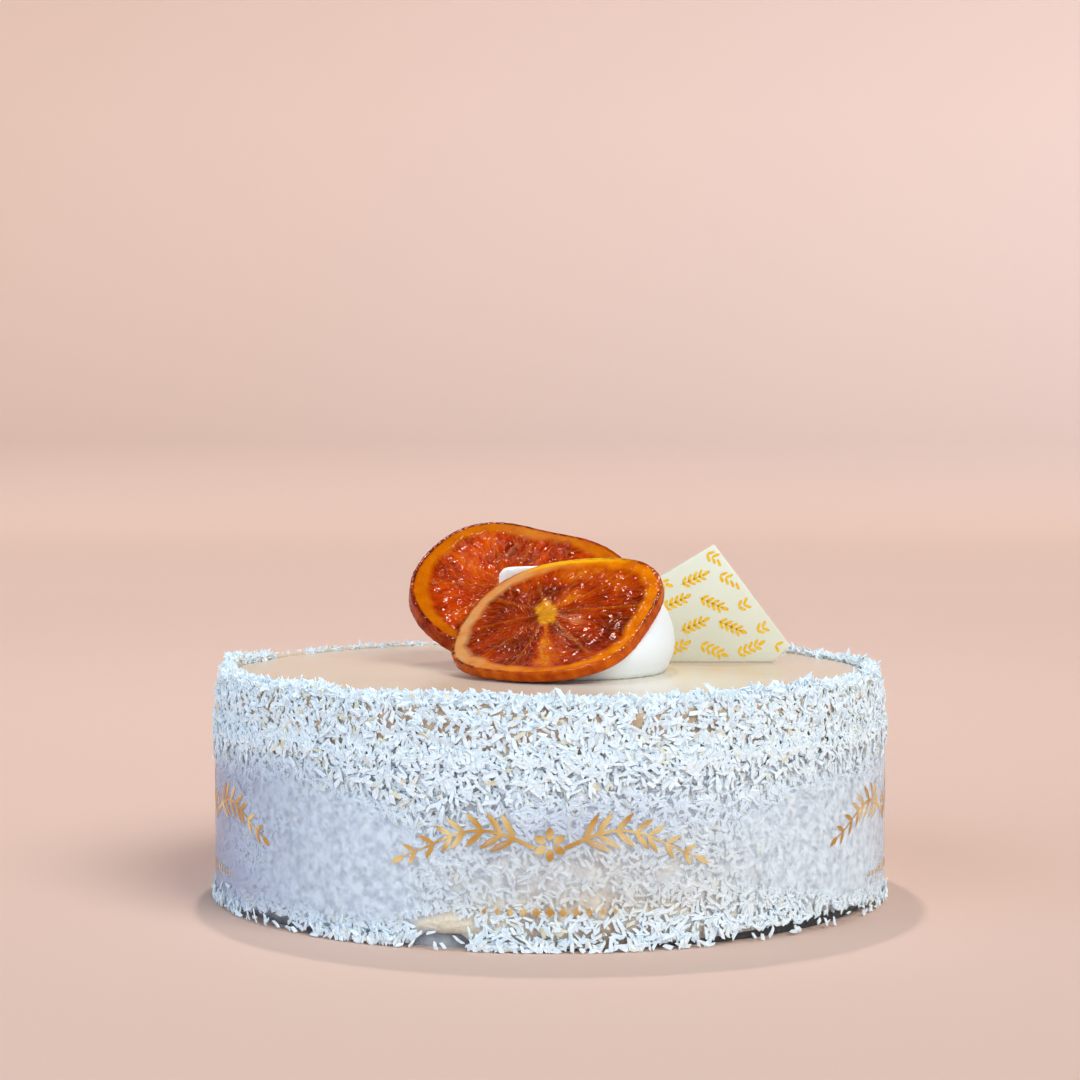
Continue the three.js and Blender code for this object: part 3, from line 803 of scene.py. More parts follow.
class CAKE_OT_stage(bpy.types.Operator):
    """Makes the camera, the soft studio lights and the pale floor"""

    bl_idname = "cake.stage"
    bl_label = "Stage"

    # The camera: lens and sensor, its place, and how far it looks down and left in degrees
    lens, sensor = 86.89, 36
    eye = (-0.3, -785.3, 139.1)
    look_down, look_left = 2.463, 0.191

    # The paper in metres: half its width, where it starts, where it bends, how round, and its top
    side, front, bend, curve, top = 6, -4, 2.5, 1.2, 3

    # Lamps as (name, place in metres, colour, power, degrees or metres across), all aimed at one height
    aim_height = 0.06
    suns = (
        ("key", (0.6, -0.7, 1.0), "#fdfcfb", 2.02, 35),
        ("fill", (-0.9, -0.6, 0.6), "#c8e2ff", 1.2, 60),
    )
    panels = (
        ("glint", (-0.05, 0.4, 1.1), "#fff6f4", 3.6, 0.05),
        ("spark", (-0.05, 0.4, 1.1), "#fff6f4", 3.6, 0.05),
        ("sheen", (-0.05, 0.4, 1.15), "#ffd2c6", 5, 0.12),
    )

    def execute(self, context):
        scene = context.scene
        scene.view_settings.view_transform = "Standard"
        data = bpy.data.cameras.new("camera")
        data.lens, data.sensor_width = self.lens, self.sensor
        data.clip_start, data.clip_end = 0.01, 50
        camera = stand("camera", data)
        camera.location = Vector(self.eye) * MM
        camera.rotation_euler = (radians(90 - self.look_down), 0, radians(self.look_left))
        scene.camera = camera
        self.make_floor()
        self.make_world(scene)
        self.make_lamps()
        return {"FINISHED"}

    def make_floor(self):
        """Paper that runs level under the cake and bends up behind it into a wall."""
        bm = bmesh.new()
        near = bm.verts.new((-self.side, self.front, 0))
        far = bm.verts.new((-self.side, self.bend, 0))
        bm.edges.new((near, far))
        middle = (-self.side, self.bend, self.curve)
        bmesh.ops.spin(bm, geom=[far], cent=middle, axis=(1, 0, 0), angle=radians(90), steps=24)
        end = max(bm.verts, key=lambda vert: vert.co.y)
        above = bm.verts.new((-self.side, end.co.y, self.top))
        bm.edges.new((end, above))
        grown = bmesh.ops.extrude_edge_only(bm, edges=bm.edges[:])
        moved = [item for item in grown["geom"] if isinstance(item, bmesh.types.BMVert)]
        bmesh.ops.translate(bm, verts=moved, vec=(2 * self.side, 0, 0))
        bmesh.ops.recalc_face_normals(bm, faces=bm.faces)
        floor = stand("floor", mesh_of("floor", bm))
        floor.data.materials.append(new_material("pale studio paper", paper_look))

    def make_world(self, scene):
        """Cool air that is bright from the horizon to a third of the way up, and dim above."""
        world = bpy.data.worlds.new("studio")
        scene.world = world
        world.use_nodes = True
        tree = world.node_tree
        way = add(tree, "TexCoord").outputs["Generated"]
        height = add(tree, "SeparateXYZ", {"Vector": way}).outputs["Z"]
        fading = {"Value": height, "From Min": 0.3, "From Max": 0.65, "To Min": 0.96, "To Max": 0.1}
        dimmer = add(tree, "MapRange", fading)
        feed(tree, tree.nodes["Background"], {"Color": "#e7f0fd", "Strength": dimmer})

    def make_lamps(self):
        """Suns and a soft panel, and two more panels over the same place that show only as highlights."""
        for name, place, colour, power, across in self.suns:
            self.make_lamp(name, "SUN", place, colour, power).data.angle = radians(across)
        # The highlights would whiten the glaze
        spared = bpy.data.collections.new("glaze")
        spared.objects.link(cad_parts["top_glaze"])
        spared.collection_objects[0].light_linking.link_state = "EXCLUDE"
        for name, place, colour, power, across in self.panels:
            lamp = self.make_lamp(name, "AREA", place, colour, power)
            lamp.data.size = across
            if name == "glint":
                lamp.visible_glossy = False
            else:
                lamp.visible_diffuse = False
                lamp.light_linking.receiver_collection = spared

    def make_lamp(self, name, kind, place, colour, power):
        data = bpy.data.lights.new(name, kind)
        data.color = linear(colour)[:3]
        data.energy = power
        lamp = stand(name, data)
        lamp.location = place
        aim = Vector((0, 0, self.aim_height)) - Vector(place)
        lamp.rotation_euler = aim.to_track_quat("-Z", "Y").to_euler()
        return lamp


class CAKE_OT_layers(bpy.types.Operator):
    """Finishes the dark layer at the foot and the glaze on top"""

    bl_idname = "cake.layers"
    bl_label = "Base and glaze"

    def execute(self, context):
        colours = context.scene.cake_colours
        finishes = {
            "base_layer": new_material("dark base layer", base_look),
            "top_glaze": new_material("poured cream glaze", glaze_look, colours),
        }
        for node, material in finishes.items():
            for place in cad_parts[node].material_slots:
                place.material = material
        return {"FINISHED"}


class CAKE_OT_side(bpy.types.Operator):
    """Builds the side of the cake that carries the coconut"""

    bl_idname = "cake.side"
    bl_label = "Side"

    # The underside, the skirt that goes down round the dark layer, and the points over the rim as
    # (radius, height)
    underside = 4.8
    skirt_inner, skirt_outer = 96.7, 97.6
    shoulder = [(97.4, 66), (96.4, 66.5), (95.2, 66.3), (94.7, 65), (94.7, 64.1), (0, 64.1)]

    def execute(self, context):
        inner, outer, foot = self.skirt_inner, self.skirt_outer, self.underside
        upright = [(SIDE_RADIUS, 6 + 1.5 * i) for i in range(40)]
        bm = spun([(0, foot), (inner, foot), (inner, 0), (outer, 0)] + upright + self.shoulder, 480)
        bare = bm.verts.layers.float.new("bare")
        for vert in bm.verts:
            angle = atan2(vert.co.x, -vert.co.y)
            radius, height = hypot(vert.co.x, vert.co.y) / MM, vert.co.z / MM
            if abs(height) < 0.01:
                height = float(by_angle(COAT_FOOT, angle))
            elif abs(radius - SIDE_RADIUS) < 0.01:
                lump = noise(vert.co / (3 * MM)) + 0.5 * noise(vert.co / (1.4 * MM))
                pressed = 0.5 * float(smooth_step(52, 46, height))
                radius = float(side_radius(height, angle)) - 0.1 + pressed + 0.3 * lump
            elif height > 64 and radius > 94:
                radius += float(glaze_edge(angle)) - GLAZE_RADIUS if radius < 95 else 0
                height += 0.4 * float(rim_lift(angle)) if height > 66 else 0
            vert.co = ring_spot(angle, radius, height)
            vert[bare] = self.bareness(vert.co, angle, height)
        glaze = new_material("crumb-covered glaze", underlay_look)
        finish_piece("cake_side", bm, glaze, "cake_body")
        return {"FINISHED"}

    def bareness(self, spot, angle, height):
        """How bare the glaze is: tan near the top and low at the front, cream at a patch and the rim."""
        top = 0.95 * float(smooth_step(47, 56, height))
        front = 0.64 * float(thin_coat(angle, height))
        cloud = noise(spot / (7 * MM)) + 0.5 * noise(spot / (3 * MM))
        if height > 65.2:
            return 0.62
        if in_bare_patch(angle, height) > 0.3:
            return 0.5
        return within(max(top, front) + 0.25 * cloud, most=0.95)


class CAKE_OT_coconut(bpy.types.Operator):
    """Scatters the coconut shreds over the side, the rim and the foot"""

    bl_idname = "cake.coconut"
    bl_label = "Coconut"

    # The heights between which the shreds lie
    side_span, over_film_span, crumb_span = (49.8, GLAZE_TOP), (35, 52), (0.8, 67)
    film_spans = {"low": (0.6, 24), "high": (24, 51)}

    # The furthest that they reach
    side_reach, rim_reach, over_film_reach, foot_reach, crumb_reach = 102.2, 101.8, 101.5, 101.8, 101.9

    def execute(self, context):
        sizes = context.scene.cake_sizes
        self.material = new_material("desiccated coconut", coconut_look, context.scene.cake_colours)
        self.size = [sizes.shred_length / MM, sizes.shred_width / MM, sizes.shred_thickness / MM]
        self.make_side(count=sizes.side_shreds, seed=11)
        self.make_rim(count=4700, seed=12)
        self.make_behind_film("low", count=sizes.film_shreds // 2, seed=13)
        self.make_behind_film("high", count=sizes.film_shreds // 2, seed=17)
        self.make_over_film(count=4200, seed=14)
        self.make_foot(count=1000, seed=15)
        self.make_crumbs(count=8000, seed=16)
        return {"FINISHED"}

    def lay(self, name, kind, rng, spots, size, laid, limits):
        """Scatters shreds as one piece of the coat."""
        scatter("coconut_" + name, kind, rng, spots, size, laid, self.material, limits)

    def make_side(self, count, seed):
        """Curled shreds on the band above the film, densest just above it."""
        rng, angle, height = thrown(seed, count, *self.side_span, start=0)
        kept = patchy(angle, height, 1.7, 2.0) > -0.2 - 0.3 * smooth_step(60, 54, height)
        angle, height = sifted(kept, angle, height)
        count = len(angle)
        radius = side_radius(height, angle) + rng.uniform(-0.3, 0.75, count)
        level = 100.4 + rng.uniform(-0.4, 0.3, count)
        share = smooth_step(51, 57, height)
        spots = (angle, level * (1 - share) + radius * share, height)
        size = shred_sizes(rng, count, *self.size)
        limits = (0, room_outside(angle, self.side_reach))
        self.lay("side", CURLED_SHRED, rng, spots, size, lying(rng, count, 0.16, 0.3), limits)

    def make_rim(self, count, seed):
        """A ragged mound of shreds on the rim, one in ten of them larger."""
        rng = np.random.default_rng(seed)
        angle = rng.uniform(0, TURN, count)
        clump = patchy(angle, angle * 0, 3, 3.0)
        kept = rng.random(count) < by_angle(RIM_COVER, angle) + 0.3 * clump
        angle, clump = sifted(kept, angle, clump)
        count = len(angle)
        lift = by_angle(RIM_HEIGHT, angle) * (1 + 0.9 * clump)
        outward = rng.random(count)
        edge = glaze_edge(angle)
        radius = edge + 0.2 + outward * (98.2 - edge)
        mound = np.sin(pi * np.clip(0.2 + 0.75 * outward, 0, 1))
        height = GLAZE_TOP - 0.5 + (0.4 + lift) * mound * rng.uniform(0.2, 1, count) ** 0.7
        large = rng.random(count) < 0.1 * by_angle(RIM_COVER, angle)
        height += 0.6 * large * rng.random(count)
        turn = rng.normal(0, 0.85, count)
        tilt = rng.normal(0, 0.45, count)
        size = shred_sizes(rng, count, *self.size) * np.where(large, 1.3, 1)[:, None] ** (1, 1, 0.5)
        roll = rng.normal(-0.9 + 0.6 * outward, 0.5, count)
        limits = (edge - 1.2, room_outside(angle, self.rim_reach))
        self.lay("rim", CURLED_SHRED, rng, (angle, radius, height), size, (turn, tilt, roll), limits)

    def make_behind_film(self, part, count, seed):
        """Shreds pressed flat behind the film, down to the coat's foot and thin low at the front."""
        rng, angle, height = thrown(seed, count, *self.film_spans[part])
        size = shred_sizes(rng, count, self.size[0] * 0.95, self.size[1] * 0.9, self.size[2])
        turn, tilt, roll = lying(rng, count, 0.08, 0.2)
        hanging = 0.5 * size[:, 0] * np.abs(np.sin(turn))
        thin = 0.75 * thin_coat(angle, height) * (0.75 + 0.25 * smooth_step(5, 14, height))
        kept = patchy(angle, height, 1.2, 5.0) > -0.6 + thin
        kept &= height - hanging > by_angle(COAT_FOOT, angle) - rng.exponential(0.25, count)
        kept &= in_bare_patch(angle, height) + rng.uniform(-0.35, 0.35, count) < 0
        angle, height, size, turn, tilt, roll = sifted(kept, angle, height, size, turn, tilt, roll)
        radius = film_radius(angle) - 0.3 - rng.exponential(0.5, len(angle))
        spots, limits = (angle, radius, height), (0, film_radius(angle) - FILM_INSIDE)
        self.lay("behind_film_" + part, PRESSED_SHRED, rng, spots, size, (turn, tilt, roll), limits)

    def make_over_film(self, count, seed):
        """Shreds that have strayed over the film's upper edge."""
        rng, angle, height = thrown(seed, count, *self.over_film_span)
        border = by_angle(OVER_FILM, angle) + 3 * patchy(angle, height, 4, 9.0)
        kept = rng.random(count) < smooth_step(border - 2, border + 5, height)
        angle, height = sifted(kept, angle, height)
        count = len(angle)
        outer = film_radius(angle) + FILM_OUTSIDE
        spots = (angle, outer + rng.uniform(0.0, 0.12, count), height)
        size = shred_sizes(rng, count, self.size[0], self.size[1], 0.24)
        limits = (outer, room_outside(angle, self.over_film_reach))
        self.lay("over_film", CURLED_SHRED, rng, spots, size, lying(rng, count, 0.04, 0.08), limits)

    def make_foot(self, count, seed):
        """Shreds that cling to the foot outside the film, fewer where the coat ends higher."""
        rng = np.random.default_rng(seed)
        angle = rng.uniform(-pi, pi, count)
        kept = rng.random(count) > 0.85 * smooth_step(0.9, 2, by_angle(COAT_FOOT, angle))
        angle = angle[kept]
        count = len(angle)
        height = 0.4 + rng.exponential(1.2, count)
        outer = film_radius(angle) + FILM_OUTSIDE
        spots = (angle, outer + rng.uniform(0.05, 0.5, count), height)
        size = shred_sizes(rng, count, self.size[0] * 0.9, self.size[1] * 0.9, 0.28)
        limits = (outer, room_outside(angle, self.foot_reach))
        self.lay("foot", CURLED_SHRED, rng, spots, size, lying(rng, count, 0.12, 0.3), limits)

    def make_crumbs(self, count, seed):
        """Crumbs between the shreds, all over the side."""
        rng, angle, height = thrown(seed, count, *self.crumb_span)
        kept = (height > by_angle(COAT_FOOT, angle)) & (in_bare_patch(angle, height) < 0)
        kept &= (height < 54) | (rng.random(count) < 0.4)
        kept &= rng.random(count) > 0.7 * thin_coat(angle, height)
        angle, height = sifted(kept, angle, height)
        count = len(angle)
        behind, outside = film_radius(angle) - FILM_INSIDE, room_outside(angle, self.crumb_reach)
        limits = (0, np.where(height < FILM_TOP, behind, outside))
        radius = side_radius(height, angle) + rng.uniform(-0.3, 0.9, count)
        size = shred_sizes(rng, count, 1.3, 0.9, 0.5)
        self.lay("crumbs", CRUMB, rng, (angle, radius, height), size, lying(rng, count, 0.4, 0.6), limits)


class CAKE_OT_film(bpy.types.Operator):
    """Wraps the clear film round the side, its ends lapped at the back"""

    bl_idname = "cake.film"
    bl_label = "Film"

    columns, rows = 420, 24

    # Milky patches, as (middle in degrees, spread in degrees, depth)
    patches = (
        (-82, 20, 0.45),
        (-36, 18, 0.4),
        (-12, 20, 0.02),
        (50, 22, 0.3),
        (90, 22, 0.3),
        (155, 45, 0.3),
        (-140, 30, 0.3),
    )

    def execute(self, context):
        thickness = context.scene.cake_sizes.film_thickness
        half = pi * FILM_MIDDLE + FILM_LAP
        bm = bmesh.new()
        bmesh.ops.create_grid(bm, x_segments=self.columns, y_segments=self.rows, size=0.5)
        fog = bm.verts.layers.float.new("fog")
        painted_shade = bm.verts.layers.float.new("painted_shade")
        for vert in bm.verts:
            angle = vert.co.x * 2 * half / FILM_MIDDLE
            share = vert.co.y + 0.5
            waver = 0.25 * sin(3 * angle + 1) + 0.15 * sin(7 * angle)
            height = FILM_FOOT + share * (FILM_TOP - FILM_FOOT + waver - 0.4)
            vert.co = ring_spot(angle, film_radius(angle) - thickness / 2 / MM, height)
            vert[fog] = self.fog(degrees(angle), height)
            vert[painted_shade] = self.painted_shade(degrees(angle), height)
        bmesh.ops.recalc_face_normals(bm, faces=bm.faces)
        outward = next(iter(bm.faces))
        if outward.normal.dot(outward.calc_center_median()) < 0:
            bmesh.ops.reverse_faces(bm, faces=bm.faces)
        bmesh.ops.solidify(bm, geom=bm.faces[:], thickness=-thickness)
        bmesh.ops.recalc_face_normals(bm, faces=bm.faces)
        film = new_material("acetate film", film_look, context.scene.cake_colours)
        collar = finish_piece("film_collar", bm, film, "collar_film", sharp=40)
        # Fog scatters light on to what lies behind it and blocks hardly any
        collar.visible_shadow = False
        return {"FINISHED"}

    def in_middle(self, angle, height):
        """1 in the shaded band under the coconut's edge at the front, and 0 well away from it."""
        return bell(angle, 3, 19) * float(smooth_step(22, 32, height))

    def painted_shade(self, angle, height):
        """How far the veil is painted a lavender-grey shade at an angle in degrees and a height, from 0 to
        1: most towards the left edge, less towards the right edge, and in the shaded band at the front.
        """
        left, right = smooth_step(31, 72, -angle), 0.5 * smooth_step(60, 80, angle)
        return float(left + right) + 0.6 * self.in_middle(angle, height)

    def fog(self, angle, height):
        """How milky the film is at an angle in degrees and a height.

        It is clear where the coconut shows crisply, just under its upper edge and at the foot, but for a
        small painted reflection low at the front left.
        """
        milk = 0.2
        for middle, spread, depth in self.patches:
            milk += depth * bell(angle, middle, spread)
        milk += 0.1 * self.in_middle(angle, height)
        drift = noise(Vector((angle / 9, height / 14, 0.5)))
        drift += 0.4 * noise(Vector((angle / 3, height / 5, 7)))
        upper = float(by_angle(OVER_FILM, radians(angle)))
        crisp = float(by_angle(CRISP_FOOT, radians(angle)))
        covered = between(height, (crisp - 4, crisp + 6), (upper - 12, upper + 3))
        # A painted reflection: a small milky patch at the foot, just left of the front, stands for a
        # reflection in the film
        painted_reflection = 0.25 * bell(angle, -17, 4) * float(1 - smooth_step(3.5, 5.5, height))
        return within((milk + 0.16 * drift) * covered + painted_reflection, 0.015, 0.85)


class CAKE_OT_gold_print(bpy.types.Operator):
    """Prints a gold sprig and a row of beads on the film, five times round"""

    bl_idname = "cake.gold_print"
    bl_label = "Gold print"

    # Degrees from one sprig to the next, the foil's thickness, and how far it lies off the film
    spacing, foil, lift = 76, 0.04, 0.08
    sprig_height, bead_height = 29, 11

    # A branch: its gap from the middle, its reach, its arch, and the points along it
    gap, reach, arch, points = 4, 36, 4.5, 22

    # Leaves as (length, width), the ones in pairs largest near the flower
    leaf_pairs, leaf_size, tip_size = 7, (8.5, 1.9), (4.5, 1.6)
    petals, petal_size = 6, (3.6, 2.2)
    bead_size, bead_spacing = 1.5, 3.5

    def execute(self, context):
        bm = bmesh.new()
        for repeat in (-2, -1, 0, 1, 2):
            shift = radians(self.spacing * repeat) * FILM_MIDDLE
            self.sprig(bm, shift)
            self.beads(bm, shift)
        bmesh.ops.solidify(bm, geom=bm.faces[:], thickness=self.foil * MM)
        bmesh.ops.recalc_face_normals(bm, faces=bm.faces)
        gold = new_material("gold foil", gold_look, context.scene.cake_colours)
        finish_piece("film_print", bm, gold, sharp=40)
        return {"FINISHED"}

    def wrap(self, verts, shift, place, turn=0.0):
        """Turns flat verts, lays them at a place on the film and bends them round it."""
        for vert in verts:
            x, y = rotated(vert.co.x, vert.co.y, turn)
            angle = (shift + place[0] + x) / FILM_MIDDLE
            vert.co = ring_spot(angle, film_radius(angle) + self.lift, place[1] + y)

    def leaf(self, bm, shift, place, turn, length, width):
        """A leaf from its foot at a place, pointing along turn."""
        made = bmesh.ops.create_circle(bm, cap_ends=True, segments=20, radius=1)["verts"]
        for vert in made:
            share = (vert.co.x + 1) / 2
            vert.co.y *= width / 2 * sin(pi * share ** 0.8) ** 0.4 if 0 < share < 1 else 0
            vert.co.x = share * length
        self.wrap(made, shift, place, turn)

    def stem(self, bm, shift, path, width):
        """A tapering line along a path of (across, height) points."""
        last = len(path) - 1
        made = bmesh.ops.create_grid(bm, x_segments=last, y_segments=1, size=0.5)["verts"]
        for vert in made:
            step = round((vert.co.x + 0.5) * last)
            x, y = path[step]
            ahead, behind = path[min(step + 1, last)], path[max(step - 1, 0)]
            turn = atan2(ahead[1] - behind[1], ahead[0] - behind[0])
            half = width * (1 - 0.7 * step / last) * vert.co.y
            vert.co.x, vert.co.y = x - half * sin(turn), y + half * cos(turn)
        self.wrap(made, shift, (0, 0))

    def sprig(self, bm, shift):
        """Two leafy branches that part from a small flower in the middle."""
        middle, last = self.sprig_height, self.points - 1
        shares = np.linspace(0, 1, self.points)
        for side in (-1, 1):
            arc = [middle - 1 + self.arch * sin(pi * s * 1.25) for s in shares]
            path = [(side * (self.gap + self.reach * s), height) for s, height in zip(shares, arc)]
            self.stem(bm, shift, path, 1.1)
            for index in range(self.leaf_pairs):
                share = 0.12 + 0.13 * index
                length = self.leaf_size[0] * (1 - 0.55 * share)
                width = self.leaf_size[1] * (1 - 0.4 * share)
                for lean in (-1, 1):
                    turn = lean * 0.75 + 0.35 * cos(pi * share * 1.25)
                    turn = turn if side > 0 else pi - turn
                    self.leaf(bm, shift, path[round(share * last)], turn, length, width)
            self.leaf(bm, shift, path[-1], -0.5 if side > 0 else pi + 0.5, *self.tip_size)
        for petal in range(self.petals):
            turn = petal * TURN / self.petals + pi / 6
            foot = (1.1 * cos(turn), middle + 1.1 * sin(turn))
            self.leaf(bm, shift, foot, turn, *self.petal_size)

    def beads(self, bm, shift):
        """A row of diamonds under the sprig, the middle ones largest."""
        for index in range(-5, 6):
            size = self.bead_size - 0.13 * abs(index)
            made = bmesh.ops.create_circle(bm, cap_ends=True, segments=4, radius=size)["verts"]
            for vert in made:
                vert.co.x *= 0.8
            self.wrap(made, shift, (index * self.bead_spacing, self.bead_height))


class CAKE_OT_slices(bpy.types.Operator):
    """Builds the two candied orange slices with their segments, pith and rind"""

    bl_idname = "cake.slices"
    bl_label = "Orange slices"

    steps, rings = 300, 64
    core_radius = 3.2
    membrane_width = 0.55

    def execute(self, context):
        for node, spec in SLICES.items():
            name = "candied " + node.replace("_", " ")
            material = new_material(name, candied_orange_look, spec["fresh"])
            self.build(node, spec, material)
        return {"FINISHED"}

    def profile(self, radius, thickness):
        """Half of a flat slice with its edges softened, from the middle of the cut face round to below."""
        rings = self.rings
        cut = [(radius * i / rings, 0.0) for i in range(int(rings * 0.985))]
        cut += [(radius - 0.4, -0.04), (radius - 0.12, -0.2), (radius, -0.5)]
        skin = [(radius, -0.5 - (thickness - 1.2) * i / 6) for i in range(1, 7)]
        skin += [(radius - 0.2, 0.45 - thickness), (radius - 0.8, -thickness)]
        return cut + skin + [(radius * share, -thickness) for share in (0.9, 0.75, 0.6, 0.45, 0.3, 0.15, 0)]

    def build(self, node, spec, material):
        radius, thickness, seed = spec["radius"], spec["thickness"], spec["seed"]
        bm = spun(self.profile(radius, thickness), self.steps)
        pulp, ring, tone, zest = (
            bm.verts.layers.float_vector.new(name) for name in ("pulp", "ring", "tone", "zest")
        )
        away = Vector(spec["face"]).normalized()
        side = Vector((0, 0, 1)).cross(away).normalized()
        uphill = away.cross(side)
        core = Vector(spec["core"])
        flesh_reach = self.flesh_reach(spec, core)
        for vert in bm.verts:
            angle = atan2(vert.co.y, vert.co.x)
            level = vert.co.z / MM
            own = hypot(vert.co.x, vert.co.y) / MM
            share = own / radius
            reach = own * (1 + float(waves(angle, spec["lobes"])))
            spot = Vector((reach * cos(angle), reach * sin(angle)))
            offset = spot - core
            heading = atan2(offset.y, offset.x)
            around = Vector((cos(heading), sin(heading), seed))
            ragged = 0.07 * noise(around * 2.2) + 0.035 * noise(around * 9)
            flesh = (1 + ragged) * offset.length / np.interp(heading, *flesh_reach)
            near = self.membrane(spec, heading, offset.length)
            if level > -0.01:
                level += self.relief(spec, offset, heading, flesh, near, share)
            elif share > 0.9 and level > -thickness + 0.01:
                skin = noise(Vector((spot.x, spot.y, level)) / 1.6 + Vector((seed,) * 3))
                spot *= 1 + 0.006 * skin - 0.003
            x, y = spot / BEND_SPAN
            bend = sum(size * x ** i * y ** j for i, j, size in spec["bends"])
            vert[pulp] = (offset.x, offset.y, level)
            vert[ring] = (flesh, near, share)
            vert[tone] = self.tones(spec, offset, degrees(heading), flesh, share, level)
            vert[zest] = self.zest(spec, offset, side, uphill, degrees(heading), flesh, share)
            placed = Vector(spec["centre"]) + side * spot.x + uphill * spot.y + away * (level + bend)
            vert.co = placed * MM
        name = node.replace("orange_slice", "candied_slice")
        finish_piece(name, bm, material, node)

    def tones(self, spec, offset, heading, flesh, share, level):
        """How light the flesh is, how tan the pith is and how dark the edge is, each from 0 to 1. The
        lightness is partly a painted glow of light through thin flesh.
        """
        seed = spec["seed"]
        glow = 0.3 + 0.45 * flat_noise(offset, 9, seed)
        # The lights: lighter thin flesh, partly a painted glow of light shining through it
        for middle, spread, near, far, strength in spec["lights"]:
            inside = between(flesh, (near - 0.15, near + 0.1), (far - 0.1, far + 0.15))
            glow += strength * bell(heading, middle, spread) * inside
        tan = bells(spec["tan"], heading)
        tan *= 1 + 0.7 * flat_noise(offset, 4, seed + 9)
        line = exp(-(((share - 0.976) / 0.014) ** 2)) if level > -0.4 else 0.0
        patch = spec["line"] + 1.1 * flat_noise(offset, 1.7, seed + 5)
        return within(glow), within(tan), within(line * bells(spec["edge"], heading) * patch * 2)

    def zest(self, spec, offset, side, uphill, heading, flesh, share):
        """How yellow the rim is, how pale the strands are, and whether this is the core. The pale strands
        are partly painted highlights.
        """
        yellow = bells(spec["zest"], heading, power=4) * float(smooth_step(0.9, 0.94, share))
        # Pale strands, painted in part as highlights beside the core and at the top of the fresh slice
        pale = 0.0
        for middle, spread, near, far, strength in spec["pale"]:
            inside = between(flesh, (near - 0.05, near + 0.05), (far - 0.1, far + 0.1))
            pale += strength * bell(heading, middle, spread) * inside
        wide, high = side.x * offset.x + uphill.x * offset.y, uphill.z * offset.y
        ragged = 0.2 * flat_noise(offset, 2, spec["seed"])
        corners = self.core_radius * (1 + 0.07 * cos(5 * atan2(high, wide) - 1.4))
        core = float(1 - smooth_step(0.75, 1.15, hypot(wide, high) / corners + ragged))
        return min(1, yellow), pale, core

    def flesh_reach(self, spec, core):
        """How far the flesh reaches from the core, as headings and reaches for interpolation."""
        found = []
        for step in range(720):
            angle = step * TURN / 720
            reach = FLESH_EDGE * spec["radius"] * (1 + float(waves(angle, spec["lobes"])))
            offset = Vector((reach * cos(angle), reach * sin(angle))) - core
            found.append((atan2(offset.y, offset.x), offset.length))
        return list(zip(*sorted(found)))

    def membrane(self, spec, heading, distance):
        """1 on a membrane between two segments, and 0 from a millimetre or so away."""
        gap = min(abs((degrees(heading) - m + 180) % 360 - 180) for m in spec["membranes"])
        apart = radians(min(gap, 90)) * distance
        return exp(-((apart / self.membrane_width) ** 2)) * min(1.0, distance / 3)

    def relief(self, spec, offset, heading, flesh, near, share):
        """The height of the cut face: puckered flesh in a shallow dish, with a raised core and pith."""
        seed = spec["seed"]
        stretched = Vector((9 * cos(heading), 9 * sin(heading), 0.32 * offset.length + seed))
        strands = noise(stretched)
        spot = Vector((offset.x, offset.y, seed))
        lumps = noise(spot / 2.6) + 0.5 * noise(spot / 1.2)
        inside = between(flesh, (0.04, 0.16), (0.93, 1.03))
        dish = -0.55 * inside
        pucker = spec["puckers"] * inside * (0.35 * strands + 0.6 * lumps)
        ridge = 0.25 * near * inside
        pith = 0.12 * noise(spot / 3) * (1 - inside)
        pith += 0.16 * noise(spot / 0.7) * float(smooth_step(0.9, 0.96, share))
        edge = -0.25 * float(smooth_step(0.965, 1, share))
        return dish + pucker + ridge + pith + edge


class CAKE_OT_cream(bpy.types.Operator):
    """Smooths the dollop of cream under the slices"""

    bl_idname = "cake.cream"
    bl_label = "Cream"

    # The flanks are evened for more rounds, from so far above the foot up to a height
    flank_foot, flank_top, rounds = 1.2, 88, 30

    # The foot spreads on the glaze: how far up, and how far out at most
    spread_height, spread_reach = 3.6, 3.2

    # The sole is laid flat, a hair above the glaze
    sole, hair = 0.35, 0.05

    def execute(self, context):
        bm = self.evened(context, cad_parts["cream_dollop"])
        low = min(vert.co.z for vert in bm.verts)
        flanks = [v for v in bm.verts if low + self.flank_foot * MM < v.co.z < self.flank_top * MM]
        for _ in range(self.rounds):
            bmesh.ops.smooth_vert(
                bm, verts=flanks, factor=0.5, use_axis_x=True, use_axis_y=True, use_axis_z=True
            )
        bm.normal_update()
        for vert in bm.verts:
            above = (vert.co.z - low) / MM
            if above < self.spread_height:
                outward = Vector((vert.normal.x, vert.normal.y, 0))
                vert.co += outward * (1 - above / self.spread_height) ** 2 * self.spread_reach * MM
            if above < self.sole:
                vert.co.z = (GLAZE_TOP + self.hair) * MM
        cream = new_material("whipped cream", cream_look, context.scene.cake_colours)
        finish_piece("cream_scoop", bm, cream, "cream_dollop")
        return {"FINISHED"}

    def evened(self, context, node):
        """The node's form as a bmesh of small, even, slightly relaxed faces."""
        rough = stand("cream_lumps", mesh_of("cream_lumps", welded(node)))
        remesh = rough.modifiers.new("even", "REMESH")
        remesh.mode, remesh.voxel_size = "VOXEL", 0.7 * MM
        relax = rough.modifiers.new("relax", "SMOOTH")
        relax.factor, relax.iterations = 0.5, 4
        context.view_layer.update()
        even = rough.evaluated_get(context.evaluated_depsgraph_get())
        bm = bmesh.new()
        bm.from_mesh(even.to_mesh())
        even.to_mesh_clear()
        bpy.data.objects.remove(rough)
        if not bm.verts:
            raise RuntimeError("the cream came out empty")
        return bm


